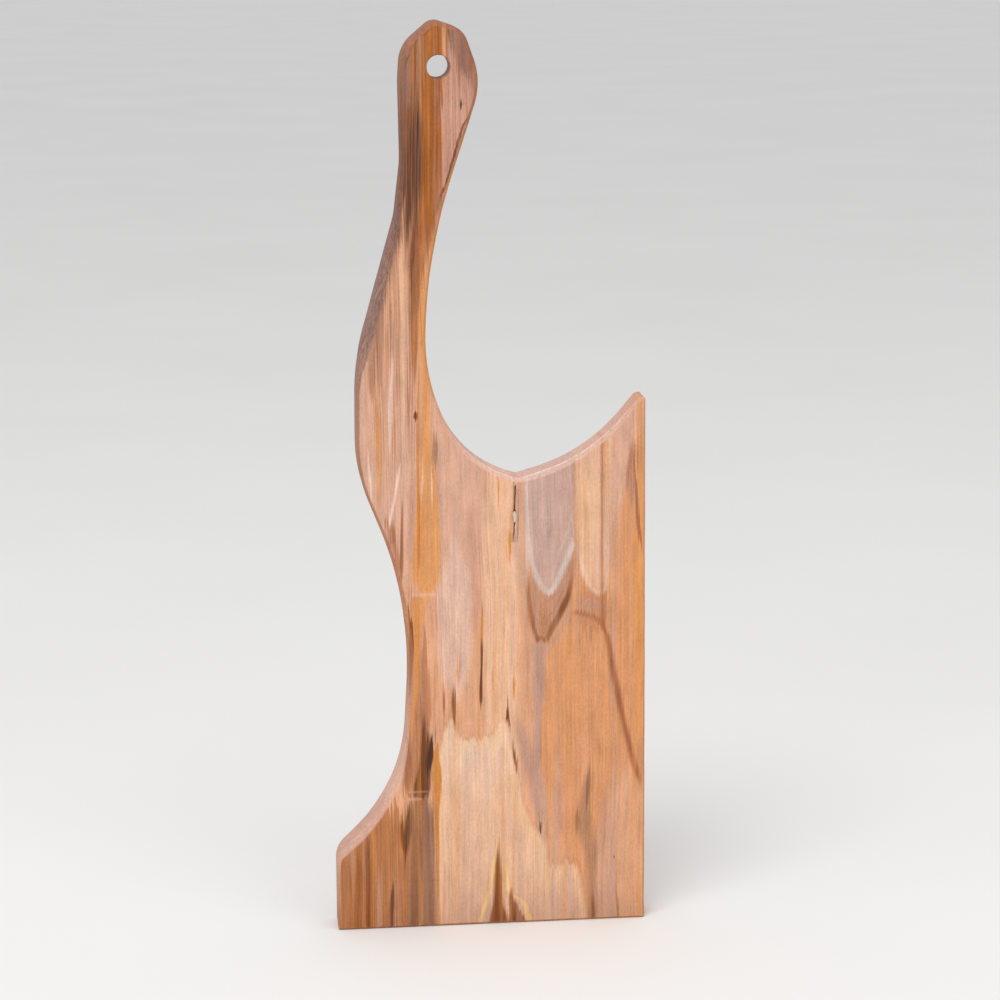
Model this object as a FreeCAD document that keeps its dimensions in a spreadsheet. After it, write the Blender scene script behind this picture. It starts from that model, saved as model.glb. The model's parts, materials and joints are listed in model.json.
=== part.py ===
"""Hand-cut serving board: one plank with a long curved handle, and the filler in its drying check.

Frame: millimetres, +Z up along the board, front face towards -Y, origin at the middle of the foot.
"""
import FreeCAD, Part
import Sketcher
import math
import os

SHEET = "Sizes"

# Driving sizes, in millimetres: alias, value, meaning.
SIZES = [
    ("board_height", 479, "foot to crown"),
    ("foot_width", 165, "across the foot"),
    ("thickness", 20, "front face to back face"),
    ("arris", 2, "chamfer along both outlines"),
    # Blade, left side: insets from the foot's left edge, heights from the foot.
    ("foot_rise", 41.5, "height of the foot's upright left edge"),
    ("foot_round", 14, "radius on top of the foot"),
    ("flank_inset", 36, "lower end of the hollow flank"),
    ("flank_rise", 77, ""),
    ("flank_round", 90, ""),
    ("waist_inset", 42, "deepest part of the hollow flank"),
    ("waist_rise", 176.5, ""),
    ("waist_round", 205, ""),
    ("shoulder_low_inset", 14, "where the flank swells into the shoulder"),
    ("shoulder_low_rise", 248.5, ""),
    ("shoulder_low_round", 80, ""),
    ("shoulder_high_inset", 14.5, "where the shoulder leans into the handle"),
    ("shoulder_high_rise", 305, ""),
    ("shoulder_high_round", 130, ""),
    # Handle: sideways from the hanging hole's centre line, drops from the crown.
    ("handle_inset", 59, "hole's centre line from the foot's left edge"),
    ("neck_left_side", 23, "left of the centre line"),
    ("neck_left_drop", 98.5, ""),
    ("neck_left_round", 45, ""),
    ("grip_left_side", 19.5, "left of the centre line"),
    ("grip_left_drop", 71, ""),
    ("grip_left_round", 80, ""),
    ("head_left_side", 20, "left of the centre line"),
    ("head_left_drop", 29.5, ""),
    ("head_left_round", 50, ""),
    ("crown_left_side", 19, "left of the centre line"),
    ("crown_left_drop", 13, ""),
    ("crown_left_round", 19, ""),
    ("crown_top_side", 2.5, "left of the centre line"),
    ("crown_top_over", 1, "corner above the finished crown, taken off by its rounding"),
    ("crown_top_round", 7, ""),
    ("crown_right_side", 13, "right of the centre line"),
    ("crown_right_drop", 4.5, ""),
    ("crown_right_round", 12, ""),
    ("head_right_side", 22, "right of the centre line"),
    ("head_right_drop", 30.5, ""),
    ("head_right_round", 34, ""),
    ("neck_right_side", 6.5, "left of the centre line"),
    ("neck_right_drop", 116.5, ""),
    ("neck_right_round", 285, ""),
    # Bite between the handle and the horn: heights above the notch.
    ("bite_upper_side", 9, "left of the hole's centre line"),
    ("bite_upper_rise", 56.5, ""),
    ("bite_upper_round", 100, ""),
    ("bite_lower_side", 10.5, "right of the hole's centre line"),
    ("bite_lower_rise", 8, ""),
    ("bite_lower_round", 60, ""),
    ("notch_inset", 66.5, "notch from the right edge"),
    ("notch_height", 243.5, "notch above the foot"),
    ("sweep_inset", 29.5, "middle of the sweep up to the horn, from the right edge"),
    ("sweep_rise", 10.5, ""),
    ("sweep_round", 92, ""),
    ("horn_height", 285, "horn's tip above the foot"),
    ("nose_width", 4, "flat on the horn's tip"),
    ("nose_drop", 1, "fall across that flat"),
    # Hanging hole.
    ("hole_diameter", 12, ""),
    ("hole_drop", 23, "hole's centre below the crown"),
    ("hole_ease", 0.5, "chamfer on both rims"),
    # Drying check and the filler at its lower end.
    ("check_inset", 69, "check from the right edge"),
    ("check_start", 2.5, "top of the check below the notch"),
    ("check_length", 14.5, ""),
    ("check_width", 0.8, ""),
    ("check_depth", 4, ""),
    ("filler_length", 6.5, ""),
    ("filler_width", 1.8, ""),
    ("filler_depth", 3, ""),
    ("filler_gap", 0.02, "side clearance round the filler"),
]

LEFT = "-Sizes.foot_width / 2"
RIGHT = "Sizes.foot_width / 2"
HOLE_LINE = LEFT + " + Sizes.handle_inset"
HOLE_HEIGHT = "Sizes.board_height - Sizes.hole_drop"
CHECK_LINE = RIGHT + " - Sizes.check_inset"
CHECK_TOP = "Sizes.notch_height - Sizes.check_start"
FILLER_TOP = CHECK_TOP + " - Sizes.check_length"
NO_ROUND = None

# The outline's corners, clockwise seen from the front: name, across, up, radius.
# A corner at height None stands on the foot line.
OUTLINE = [
    ("heel", LEFT, None, NO_ROUND),
    ("foot_top", LEFT, "Sizes.foot_rise", "foot_round"),
    ("flank", LEFT + " + Sizes.flank_inset", "Sizes.flank_rise", "flank_round"),
    ("waist", LEFT + " + Sizes.waist_inset", "Sizes.waist_rise", "waist_round"),
    ("shoulder_low", LEFT + " + Sizes.shoulder_low_inset", "Sizes.shoulder_low_rise",
     "shoulder_low_round"),
    ("shoulder_high", LEFT + " + Sizes.shoulder_high_inset", "Sizes.shoulder_high_rise",
     "shoulder_high_round"),
    ("neck_left", HOLE_LINE + " - Sizes.neck_left_side",
     "Sizes.board_height - Sizes.neck_left_drop", "neck_left_round"),
    ("grip_left", HOLE_LINE + " - Sizes.grip_left_side",
     "Sizes.board_height - Sizes.grip_left_drop", "grip_left_round"),
    ("head_left", HOLE_LINE + " - Sizes.head_left_side",
     "Sizes.board_height - Sizes.head_left_drop", "head_left_round"),
    ("crown_left", HOLE_LINE + " - Sizes.crown_left_side",
     "Sizes.board_height - Sizes.crown_left_drop", "crown_left_round"),
    ("crown_top", HOLE_LINE + " - Sizes.crown_top_side",
     "Sizes.board_height + Sizes.crown_top_over", "crown_top_round"),
    ("crown_right", HOLE_LINE + " + Sizes.crown_right_side",
     "Sizes.board_height - Sizes.crown_right_drop", "crown_right_round"),
    ("head_right", HOLE_LINE + " + Sizes.head_right_side",
     "Sizes.board_height - Sizes.head_right_drop", "head_right_round"),
    ("neck_right", HOLE_LINE + " - Sizes.neck_right_side",
     "Sizes.board_height - Sizes.neck_right_drop", "neck_right_round"),
    ("bite_upper", HOLE_LINE + " - Sizes.bite_upper_side",
     "Sizes.notch_height + Sizes.bite_upper_rise", "bite_upper_round"),
    ("bite_lower", HOLE_LINE + " + Sizes.bite_lower_side",
     "Sizes.notch_height + Sizes.bite_lower_rise", "bite_lower_round"),
    ("notch", RIGHT + " - Sizes.notch_inset", "Sizes.notch_height", NO_ROUND),
    ("sweep", RIGHT + " - Sizes.sweep_inset", "Sizes.notch_height + Sizes.sweep_rise",
     "sweep_round"),
    ("nose_left", RIGHT + " - Sizes.nose_width", "Sizes.horn_height - Sizes.nose_drop", NO_ROUND),
    ("nose_right", RIGHT, "Sizes.horn_height", NO_ROUND),
    ("toe", RIGHT, None, NO_ROUND),
]

START, END, CENTRE = 1, 2, 3
ORIGIN_POINT = (-1, 1)
FOOT_LINE = -1
NORMAL = FreeCAD.Vector(0, 0, 1)
SAME_PLACE = 1e-6
FLAT = 1e-3
# The part of an edge that the roundings at its two ends share when it is too short for both.
EDGE_USE = 0.95


def make_sheet(doc):
    """The spreadsheet that holds every driving size under its alias."""
    sheet = doc.addObject("Spreadsheet::Sheet", SHEET)
    for row, (alias, value, meaning) in enumerate(SIZES, start=1):
        sheet.set("A%d" % row, alias.replace("_", " "))
        sheet.set("B%d" % row, str(value))
        sheet.set("C%d" % row, meaning)
        sheet.setAlias("B%d" % row, alias)
    doc.recompute()
    return sheet


def front_sketch(body, name, at_front=False):
    """A sketch on the body's upright plane: right is +X, up is +Z, and it faces the front."""
    plane = [p for p in body.Origin.OriginFeatures if p.Role == "XZ_Plane"][0]
    sketch = body.newObject("Sketcher::SketchObject", name)
    sketch.AttachmentSupport = [(plane, "")]
    sketch.MapMode = "FlatFace"
    if at_front:
        sketch.setExpression("AttachmentOffset.Base.z", "Sizes.thickness / 2")
    return sketch


def evaluate(sketch, expression):
    """An expression's value as a plain number."""
    value = sketch.evalExpression(expression)
    return float(getattr(value, "Value", value))


def bind(sketch, constraint, name, expression):
    """Adds a constraint that follows an expression."""
    index = sketch.addConstraint(constraint)
    sketch.renameConstraint(index, name)
    sketch.setExpression("Constraints." + name, expression)


def place_point(sketch, geometry, point, name, across, up):
    """Fixes a sketch point by its distances from the origin."""
    x, z = evaluate(sketch, across), evaluate(sketch, up)
    bind(sketch, Sketcher.Constraint("DistanceX", *ORIGIN_POINT, geometry, point, x),
         name + "_across", across)
    bind(sketch, Sketcher.Constraint("DistanceY", *ORIGIN_POINT, geometry, point, z),
         name + "_up", up)


def corner_places(sketch):
    """The outline's corners as points of the sketch plane."""
    places = []
    for _, across, up, _ in OUTLINE:
        height = 0.0 if up is None else evaluate(sketch, up)
        places.append(FreeCAD.Vector(evaluate(sketch, across), height, 0))
    return places


def tangent_reaches(sketch, places):
    """How far from each corner its rounding starts, limited by the two edges beside it."""
    count = len(places)
    edges = [places[(i + 1) % count] - places[i] for i in range(count)]
    wanted = []
    for i, (_, _, _, radius_name) in enumerate(OUTLINE):
        if radius_name is NO_ROUND:
            wanted.append(0.0)
            continue
        turn = edges[i - 1].getAngle(edges[i])
        wanted.append(evaluate(sketch, "Sizes." + radius_name) * math.tan(turn / 2))
    reaches = []
    for i in range(count):
        before = wanted[i - 1] + wanted[i]
        after = wanted[i] + wanted[(i + 1) % count]
        room = min(edges[i - 1].Length / max(before, SAME_PLACE),
                   edges[i].Length / max(after, SAME_PLACE))
        reaches.append(wanted[i] if room >= 1 else wanted[i] * room * EDGE_USE)
    return reaches


def rounding(before, corner, after, reach):
    """(arc, which of its ends the outline enters by, radius) of a corner's rounding."""
    back, ahead = (before - corner).normalize(), (after - corner).normalize()
    radius = reach * math.tan(back.getAngle(ahead) / 2)
    centre = corner + (back + ahead).normalize() * math.hypot(radius, reach)
    enter, leave = corner + back * reach - centre, corner + ahead * reach - centre
    turns_left = enter.cross(leave).z > 0
    first, last = (enter, leave) if turns_left else (leave, enter)
    circle = Part.Circle(centre, NORMAL, radius)
    arc = Part.ArcOfCircle(circle, math.atan2(first.y, first.x), math.atan2(last.y, last.x))
    return arc, START if turns_left else END, radius


def draw_outline(sketch):
    """The closed outline: straight runs between corners, and a tangent arc in each rounded one."""
    places = corner_places(sketch)
    reaches = tangent_reaches(sketch, places)
    count = len(OUTLINE)
    lines = []
    for i in range(count):
        run = (places[(i + 1) % count] - places[i]).normalize()
        start = places[i] + run * reaches[i]
        end = places[(i + 1) % count] - run * reaches[(i + 1) % count]
        lines.append(sketch.addGeometry(Part.LineSegment(start, end), False))
    for i, (name, across, up, radius_name) in enumerate(OUTLINE):
        incoming, outgoing = lines[i - 1], lines[i]
        if radius_name is NO_ROUND:
            join_sharp(sketch, name, incoming, outgoing, across, up)
            continue
        curve, enters, radius = rounding(places[i - 1], places[i], places[(i + 1) % count],
                                         reaches[i])
        arc = sketch.addGeometry(curve, False)
        join_round(sketch, arc, enters, incoming, outgoing)
        pin_corner(sketch, name, incoming, outgoing, places[i], across, up)
        set_radius(sketch, name, arc, radius, "Sizes." + radius_name)


def join_sharp(sketch, name, incoming, outgoing, across, up):
    """Two edges that meet in a sharp corner."""
    sketch.addConstraint(Sketcher.Constraint("Coincident", incoming, END, outgoing, START))
    if up is None:
        x = evaluate(sketch, across)
        bind(sketch, Sketcher.Constraint("DistanceX", *ORIGIN_POINT, outgoing, START, x),
             name + "_across", across)
        sketch.addConstraint(Sketcher.Constraint("PointOnObject", outgoing, START, FOOT_LINE))
    else:
        place_point(sketch, outgoing, START, name, across, up)


def join_round(sketch, arc, enters, incoming, outgoing):
    """Two edges that run into an arc without a kink."""
    leaves = END if enters == START else START
    sketch.addConstraint(Sketcher.Constraint("Tangent", arc, enters, incoming, END))
    sketch.addConstraint(Sketcher.Constraint("Tangent", arc, leaves, outgoing, START))


def pin_corner(sketch, name, incoming, outgoing, place, across, up):
    """The point where a rounded corner's edges would meet, held at its named place."""
    point = sketch.addGeometry(Part.Point(place), True)
    for line in (incoming, outgoing):
        sketch.addConstraint(Sketcher.Constraint("PointOnObject", point, START, line))
    place_point(sketch, point, START, name, across, up)


def set_radius(sketch, name, arc, radius, expression):
    """An arc's radius: its named size, or the limit that its edges set."""
    if abs(radius - evaluate(sketch, expression)) < SAME_PLACE:
        bind(sketch, Sketcher.Constraint("Radius", arc, radius), name + "_radius", expression)
    else:
        sketch.addConstraint(Sketcher.Constraint("Radius", arc, radius))


def draw_slot(sketch, across, top, length, width):
    """An upright slot with round ends. Place and size are expressions, and a sum is in brackets."""
    x, high = evaluate(sketch, across), evaluate(sketch, top)
    half = evaluate(sketch, width) / 2
    low = high - evaluate(sketch, length)
    upper, lower = FreeCAD.Vector(x, high - half, 0), FreeCAD.Vector(x, low + half, 0)
    side, rise = FreeCAD.Vector(half, 0, 0), FreeCAD.Vector(0, half, 0)
    cap = sketch.addGeometry(Part.Arc(upper + side, upper + rise, upper - side), False)
    base = sketch.addGeometry(Part.Arc(lower - side, lower - rise, lower + side), False)
    left = sketch.addGeometry(Part.LineSegment(upper - side, lower - side), False)
    right = sketch.addGeometry(Part.LineSegment(lower + side, upper + side), False)
    for arc, arc_end, line, line_end in (
        (cap, END, left, START), (base, START, left, END),
        (base, END, right, START), (cap, START, right, END),
    ):
        sketch.addConstraint(Sketcher.Constraint("Tangent", arc, arc_end, line, line_end))
    sketch.addConstraint(Sketcher.Constraint("Vertical", left))
    bind(sketch, Sketcher.Constraint("Radius", cap, half), "half_width", width + " / 2")
    place_point(sketch, cap, CENTRE, "cap", across, "%s - %s / 2" % (top, width))
    place_point_up(sketch, base, "base", "%s - %s + %s / 2" % (top, length, width))


def place_point_up(sketch, arc, name, up):
    """Fixes only the height of an arc's centre."""
    height = evaluate(sketch, up)
    bind(sketch, Sketcher.Constraint("DistanceY", *ORIGIN_POINT, arc, CENTRE, height),
         name + "_up", up)


def face_edges(shape, half_thickness):
    """Names of the edges that lie in the front face or in the back face."""
    names = []
    for number, edge in enumerate(shape.Edges, start=1):
        box = edge.BoundBox
        if box.YLength < FLAT and abs(abs(box.YMin) - half_thickness) < FLAT:
            names.append("Edge%d" % number)
    return names


def rim_edges(shape, radius, half_thickness):
    """Names of the hole's two rims."""
    names = []
    for name in face_edges(shape, half_thickness):
        curve = shape.getElement(name).Curve
        if isinstance(curve, Part.Circle) and abs(curve.Radius - radius) < FLAT:
            names.append(name)
    return names


def checked_cut(body, feature, before):
    """Makes sure that a cut took something away."""
    body.Document.recompute()
    if feature.Shape.isNull() or feature.Shape.Volume >= before - SAME_PLACE:
        raise RuntimeError(feature.Name + " removed nothing")


def cut_pocket(body, sketch, name, depth):
    """A pocket from the front face to a named depth."""
    before = body.Tip.Shape.Volume
    pocket = body.newObject("PartDesign::Pocket", name)
    pocket.Profile = sketch
    pocket.Type = "Length"
    pocket.setExpression("Length", depth)
    checked_cut(body, pocket, before)


def chamfer_edges(body, name, edges, size):
    """A chamfer on some of the last feature's edges."""
    base = body.Tip
    chamfer = body.newObject("PartDesign::Chamfer", name)
    chamfer.Base = (base, edges)
    chamfer.setExpression("Size", size)
    checked_cut(body, chamfer, base.Shape.Volume)


def saw_blank(body):
    """The plank's outline, sawn through its full thickness."""
    outline = front_sketch(body, "PlankOutline")
    draw_outline(outline)
    blank = body.newObject("PartDesign::Pad", "SawnBlank")
    blank.Profile = outline
    blank.Type = "Length"
    blank.SideType = "Symmetric"
    blank.setExpression("Length", "Sizes.thickness")
    body.Document.recompute()


def drill_hole(body, diameter):
    """The hanging hole, square through the handle's head."""
    sketch = front_sketch(body, "HoleCentre", at_front=True)
    centre = FreeCAD.Vector(evaluate(sketch, HOLE_LINE), evaluate(sketch, HOLE_HEIGHT), 0)
    circle = sketch.addGeometry(Part.Circle(centre, NORMAL, diameter / 2), False)
    bind(sketch, Sketcher.Constraint("Diameter", circle, diameter),
         "diameter", "Sizes.hole_diameter")
    place_point(sketch, circle, CENTRE, "centre", HOLE_LINE, HOLE_HEIGHT)
    body.Document.recompute()
    before = body.Tip.Shape.Volume
    hole = body.newObject("PartDesign::Hole", "HangingHole")
    hole.Profile = sketch
    hole.DepthType = "ThroughAll"
    hole.setExpression("Diameter", "Sizes.hole_diameter")
    checked_cut(body, hole, before)


def make_plank(doc, sheet):
    """The plank: sawn outline, chamfered arrises, drilled hole, check and filler pocket."""
    body = doc.addObject("PartDesign::Body", "Plank")
    body.Label = "plank"
    half_thickness = sheet.thickness / 2
    saw_blank(body)
    arrises = face_edges(body.Tip.Shape, half_thickness)
    chamfer_edges(body, "Arrises", arrises, "Sizes.arris")
    drill_hole(body, sheet.hole_diameter)
    rims = rim_edges(body.Tip.Shape, sheet.hole_diameter / 2, half_thickness)
    chamfer_edges(body, "HoleRims", rims, "Sizes.hole_ease")
    check = front_sketch(body, "CheckOutline", at_front=True)
    draw_slot(check, CHECK_LINE, CHECK_TOP, "Sizes.check_length", "Sizes.check_width")
    cut_pocket(body, check, "DryingCheck", "Sizes.check_depth")
    seat = front_sketch(body, "FillerSeatOutline", at_front=True)
    draw_slot(seat, CHECK_LINE, FILLER_TOP, "Sizes.filler_length", "Sizes.filler_width")
    cut_pocket(body, seat, "FillerSeat", "Sizes.filler_depth")
    return body


def make_filler(doc):
    """The filler, sanded flush with the front face and seated on the bottom of its pocket."""
    body = doc.addObject("PartDesign::Body", "CheckFiller")
    body.Label = "check_filler"
    sketch = front_sketch(body, "FillerOutline", at_front=True)
    draw_slot(sketch, CHECK_LINE, "%s - Sizes.filler_gap" % FILLER_TOP,
              "(Sizes.filler_length - 2 * Sizes.filler_gap)",
              "(Sizes.filler_width - 2 * Sizes.filler_gap)")
    pad = body.newObject("PartDesign::Pad", "Filler")
    pad.Profile = sketch
    pad.Type = "Length"
    pad.Reversed = True
    pad.setExpression("Length", "Sizes.filler_depth")
    doc.recompute()
    return body


def check_document(doc, bodies):
    """Stops if any object failed or any piece isn't one valid solid."""
    for item in doc.Objects:
        if "Invalid" in item.State or "Error" in item.State:
            raise RuntimeError("%s failed: %s" % (item.Name, item.State))
    for body in bodies:
        shape = body.Shape
        if shape.isNull() or not shape.isValid() or len(shape.Solids) != 1:
            raise RuntimeError(body.Label + " isn't one valid solid")


def main():
    """Builds both pieces and writes one STEP file for each."""
    doc = FreeCAD.newDocument("ServingBoard")
    sheet = make_sheet(doc)
    bodies = [make_plank(doc, sheet), make_filler(doc)]
    check_document(doc, bodies)
    os.makedirs("parts", exist_ok=True)
    for body in bodies:
        body.Shape.exportStep(os.path.join("parts", body.Label + ".step"))
        box = body.Shape.BoundBox
        print("%s: %.1f x %.1f x %.1f mm, %.2f cm3"
              % (body.Label, box.XLength, box.YLength, box.ZLength, body.Shape.Volume / 1000))


main()
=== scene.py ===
"""Looks of a wooden serving board, sawn and carved from one plank, with a filled drying check.

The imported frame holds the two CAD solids, the plank and the filler. This script makes the shown
surface of each in their place, gives them an oiled wood and a hard filler, and sets up the floor,
the lights and the camera. Sizes inside the script are in millimetres, and meshes are in metres.
"""

import json
import logging
import math
from dataclasses import dataclass
from enum import Enum
from typing import Sequence

import bpy
import numpy as np
from mathutils import Matrix, Vector
from mathutils.geometry import delaunay_2d_cdt

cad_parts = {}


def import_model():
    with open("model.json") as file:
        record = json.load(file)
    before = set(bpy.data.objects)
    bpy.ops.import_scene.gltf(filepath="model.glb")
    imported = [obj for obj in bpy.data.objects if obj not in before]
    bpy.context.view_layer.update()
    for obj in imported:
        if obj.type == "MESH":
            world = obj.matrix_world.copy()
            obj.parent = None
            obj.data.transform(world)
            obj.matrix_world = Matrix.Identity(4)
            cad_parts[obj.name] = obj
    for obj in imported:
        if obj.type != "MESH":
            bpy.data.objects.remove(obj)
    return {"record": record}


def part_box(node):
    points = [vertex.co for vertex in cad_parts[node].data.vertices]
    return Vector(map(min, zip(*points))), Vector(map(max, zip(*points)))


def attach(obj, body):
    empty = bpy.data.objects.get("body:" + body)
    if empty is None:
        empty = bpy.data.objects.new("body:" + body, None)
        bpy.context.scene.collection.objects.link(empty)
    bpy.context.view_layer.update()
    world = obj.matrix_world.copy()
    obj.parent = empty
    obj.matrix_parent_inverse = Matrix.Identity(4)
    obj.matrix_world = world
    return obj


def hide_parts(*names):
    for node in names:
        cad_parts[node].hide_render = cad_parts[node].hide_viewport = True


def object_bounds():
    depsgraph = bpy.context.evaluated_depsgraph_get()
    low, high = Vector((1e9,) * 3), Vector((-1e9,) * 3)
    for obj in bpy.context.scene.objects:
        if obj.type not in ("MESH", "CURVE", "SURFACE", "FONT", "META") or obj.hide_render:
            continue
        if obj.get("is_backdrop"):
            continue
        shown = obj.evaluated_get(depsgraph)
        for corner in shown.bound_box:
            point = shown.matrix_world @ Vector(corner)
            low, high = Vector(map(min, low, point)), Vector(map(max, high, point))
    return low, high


MM = 0.001
# Light that the oil's sheen adds to every tint, and the least light that a tint keeps.
SHEEN = 0.022
LEAST_LIGHT = 0.004
# A length that is as good as none, to divide by.
TINY = 1e-6
LOG = logging.getLogger("serving_board")

Pair = tuple[float, float]
Points = Sequence[Pair]
Colour = tuple[float, float, float]


class Tint(Enum):
    """Colours of the wood, as display values from 0 to 255."""

    PEACH = (214, 160, 126)
    NECK_PEACH = (201, 151, 122)
    HANDLE_TAN = (160, 108, 78)
    SAPWOOD = (223, 180, 150)
    SAPWOOD_PALE = (232, 200, 180)
    BUTTER = (226, 180, 148)
    ROSY = (220, 184, 166)
    DUSTY_PINK = (200, 152, 130)
    TAN_ORANGE = (211, 149, 107)
    ORANGE = (214, 146, 86)
    AMBER = (204, 136, 76)
    RESIN = (196, 116, 52)
    HONEY = (232, 188, 128)
    RUST = (165, 104, 74)
    HANDLE_ORANGE = (164, 101, 58)
    HANDLE_CORE = (162, 92, 38)
    HANDLE_PINK = (188, 141, 121)
    BROWN = (152, 100, 74)
    UMBER = (138, 80, 42)
    DARK = (112, 70, 48)
    CHAR = (84, 60, 50)
    INK = (82, 66, 62)
    MUSHROOM = (152, 110, 88)
    SMOKE = (160, 120, 94)
    LILAC_GREY = (194, 161, 148)
    LILAC = (187, 146, 128)
    CHALK = (208, 186, 176)
    CREAM = (240, 214, 198)
    BLUSH = (214, 176, 162)
    # Painted highlight for the front arris, paler than any of the wood's own tints.
    RUBBED_HIGHLIGHT = (250, 234, 224)
    CROWN = (158, 110, 90)
    DUSK = (122, 82, 64)
    ASH_ROSE = (142, 106, 92)
    PALE_PEACH = (208, 162, 138)
    SHELL = (234, 204, 192)
    CLAY = (176, 118, 86)
    ASH_BROWN = (130, 105, 100)
    FOOT_BROWN = (182, 122, 82)

    def linear(self) -> Colour:
        """The colour in linear light, less the little that the oil's sheen adds to every tint."""
        return tuple(max(v - SHEEN, LEAST_LIGHT) for v in linear_colour(self.value))


def linear_colour(shown: Colour) -> Colour:
    """Turns a display colour into linear light: share to the power 2.4, with the short straight toe.

    Args:
        shown: red, green and blue, from 0 to 255.

    Returns:
        Red, green and blue in linear light, from 0 to 1.
    """
    share = np.asarray(shown, float) / 255.0
    curved = ((share + 0.055) / 1.055) ** 2.4
    return tuple(float(v) for v in np.where(share <= 0.04045, share / 12.92, curved))


@dataclass(frozen=True)
class Corner:
    """One corner of the outline, seen from the front, with the edge that is worked there.

    Sizes are in millimetres: across and up from the middle of the foot, the radius of the rounding,
    how far the front chamfer reaches in over the face and down the side, and the edge's tint.
    """

    across: float
    up: float
    radius: float
    reach: float
    drop: float
    tint: Tint


OUTLINE: tuple[Corner, ...] = (
    Corner(-82.5, 0.0, 1.0, 1.3, 1.2, Tint.CLAY),
    Corner(-82.5, 41.5, 14.0, 3.4, 3.0, Tint.BLUSH),
    Corner(-46.5, 77.0, 90.0, 4.2, 3.6, Tint.BLUSH),
    Corner(-40.5, 176.5, 205.0, 1.8, 2.0, Tint.CLAY),
    Corner(-68.5, 248.5, 80.0, 1.9, 2.4, Tint.BROWN),
    Corner(-68.0, 305.0, 130.0, 4.4, 5.0, Tint.ASH_BROWN),
    Corner(-46.5, 380.5, 45.0, 3.4, 4.2, Tint.ASH_BROWN),
    Corner(-43.0, 408.0, 80.0, 1.8, 2.2, Tint.DUSK),
    Corner(-43.5, 449.5, 50.0, 1.7, 2.0, Tint.ASH_ROSE),
    Corner(-42.5, 466.0, 19.0, 2.4, 2.2, Tint.CROWN),
    Corner(-26.0, 480.0, 7.0, 2.6, 2.2, Tint.CROWN),
    Corner(-10.5, 474.5, 12.0, 2.2, 2.0, Tint.CROWN),
    Corner(-1.5, 448.5, 34.0, 1.7, 1.6, Tint.BROWN),
    Corner(-30.0, 362.5, 285.0, 1.2, 1.4, Tint.AMBER),
    Corner(-32.5, 300.0, 100.0, 1.3, 1.4, Tint.AMBER),
    Corner(-13.0, 251.5, 60.0, 2.3, 2.0, Tint.BLUSH),
    Corner(16.0, 243.5, 1.6, 2.4, 2.2, Tint.SHELL),
    Corner(53.0, 254.0, 92.0, 3.4, 2.8, Tint.BLUSH),
    Corner(78.5, 284.0, 1.2, 1.5, 1.6, Tint.BLUSH),
    Corner(82.5, 285.0, 1.2, 1.0, 1.3, Tint.AMBER),
    Corner(82.5, 0.0, 1.0, 1.2, 1.2, Tint.AMBER),
)
# How much of its full reach the chamfer keeps, by corner number and share of the way to the next.
CHAMFER_SHARES: Points = (
    (0.0, 1.0), (0.9, 0.5), (1.1, 0.6), (1.26, 1.0), (2.02, 1.0), (2.14, 0.95), (2.22, 0.55), (2.29, 0.42),
    (3.0, 0.9), (4.0, 0.8), (4.3, 0.6), (5.0, 0.45), (5.1, 0.75), (5.2, 1.15), (5.3, 1.3), (5.8, 1.3),
    (6.2, 0.9), (6.6, 0.8), (7.0, 0.9), (12.0, 1.0), (15.7, 1.0), (16.0, 0.87), (16.3, 0.87), (16.6, 1.0),
    (17.2, 1.05), (17.6, 1.0), (21.0, 1.0),
)
# The size that the corners are drawn at. They are scaled from it to the CAD plank's box.
DRAWN_WIDTH = 165.0
DRAWN_HEIGHT = 479.05


# A streak is drawn this much wider and fuller than its table says, since its soft sides take some of
# it away. Its fade is at least this share of its widest half width, up to a limit in millimetres.
WIDER = 1.35
FULLER = 1.25
FADE_SHARE = 0.45
FADE_LIMIT = 3.5


@dataclass(frozen=True)
class Streak:
    """A band of another tint that runs with the grain.

    The middle line and the half widths are (up, value) points in millimetres, from low to high.
    Softness is the width of the fade at its sides, ragged is how far fibres carry its ends, and
    stringy is the share of it that breaks up into strands.
    """

    line: Points
    widths: Points
    tint: Tint
    strength: float
    softness: float = 0.8
    ragged: float = 22.0
    stringy: float = 0.0

    def fade(self) -> float:
        """Width of its fade: the softness, or more for a wide band, up to a limit."""
        widest = max(half_width for _, half_width in self.widths)
        return max(self.softness, min(FADE_SHARE * widest, FADE_LIMIT))

    def cover(self) -> float:
        """The most that its tint covers, from 0 to 1."""
        return min(self.strength * FULLER, 1.0)


@dataclass(frozen=True)
class Bow:
    """A growth line that arches over the face, as (across, up) points in millimetres."""

    arch: Points


@dataclass(frozen=True)
class CrossMark:
    """A short pale mark across the grain: its height, its two ends, its half height and a tint."""

    up: float
    left: float
    right: float
    half: float
    tint: Tint
    strength: float


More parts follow.
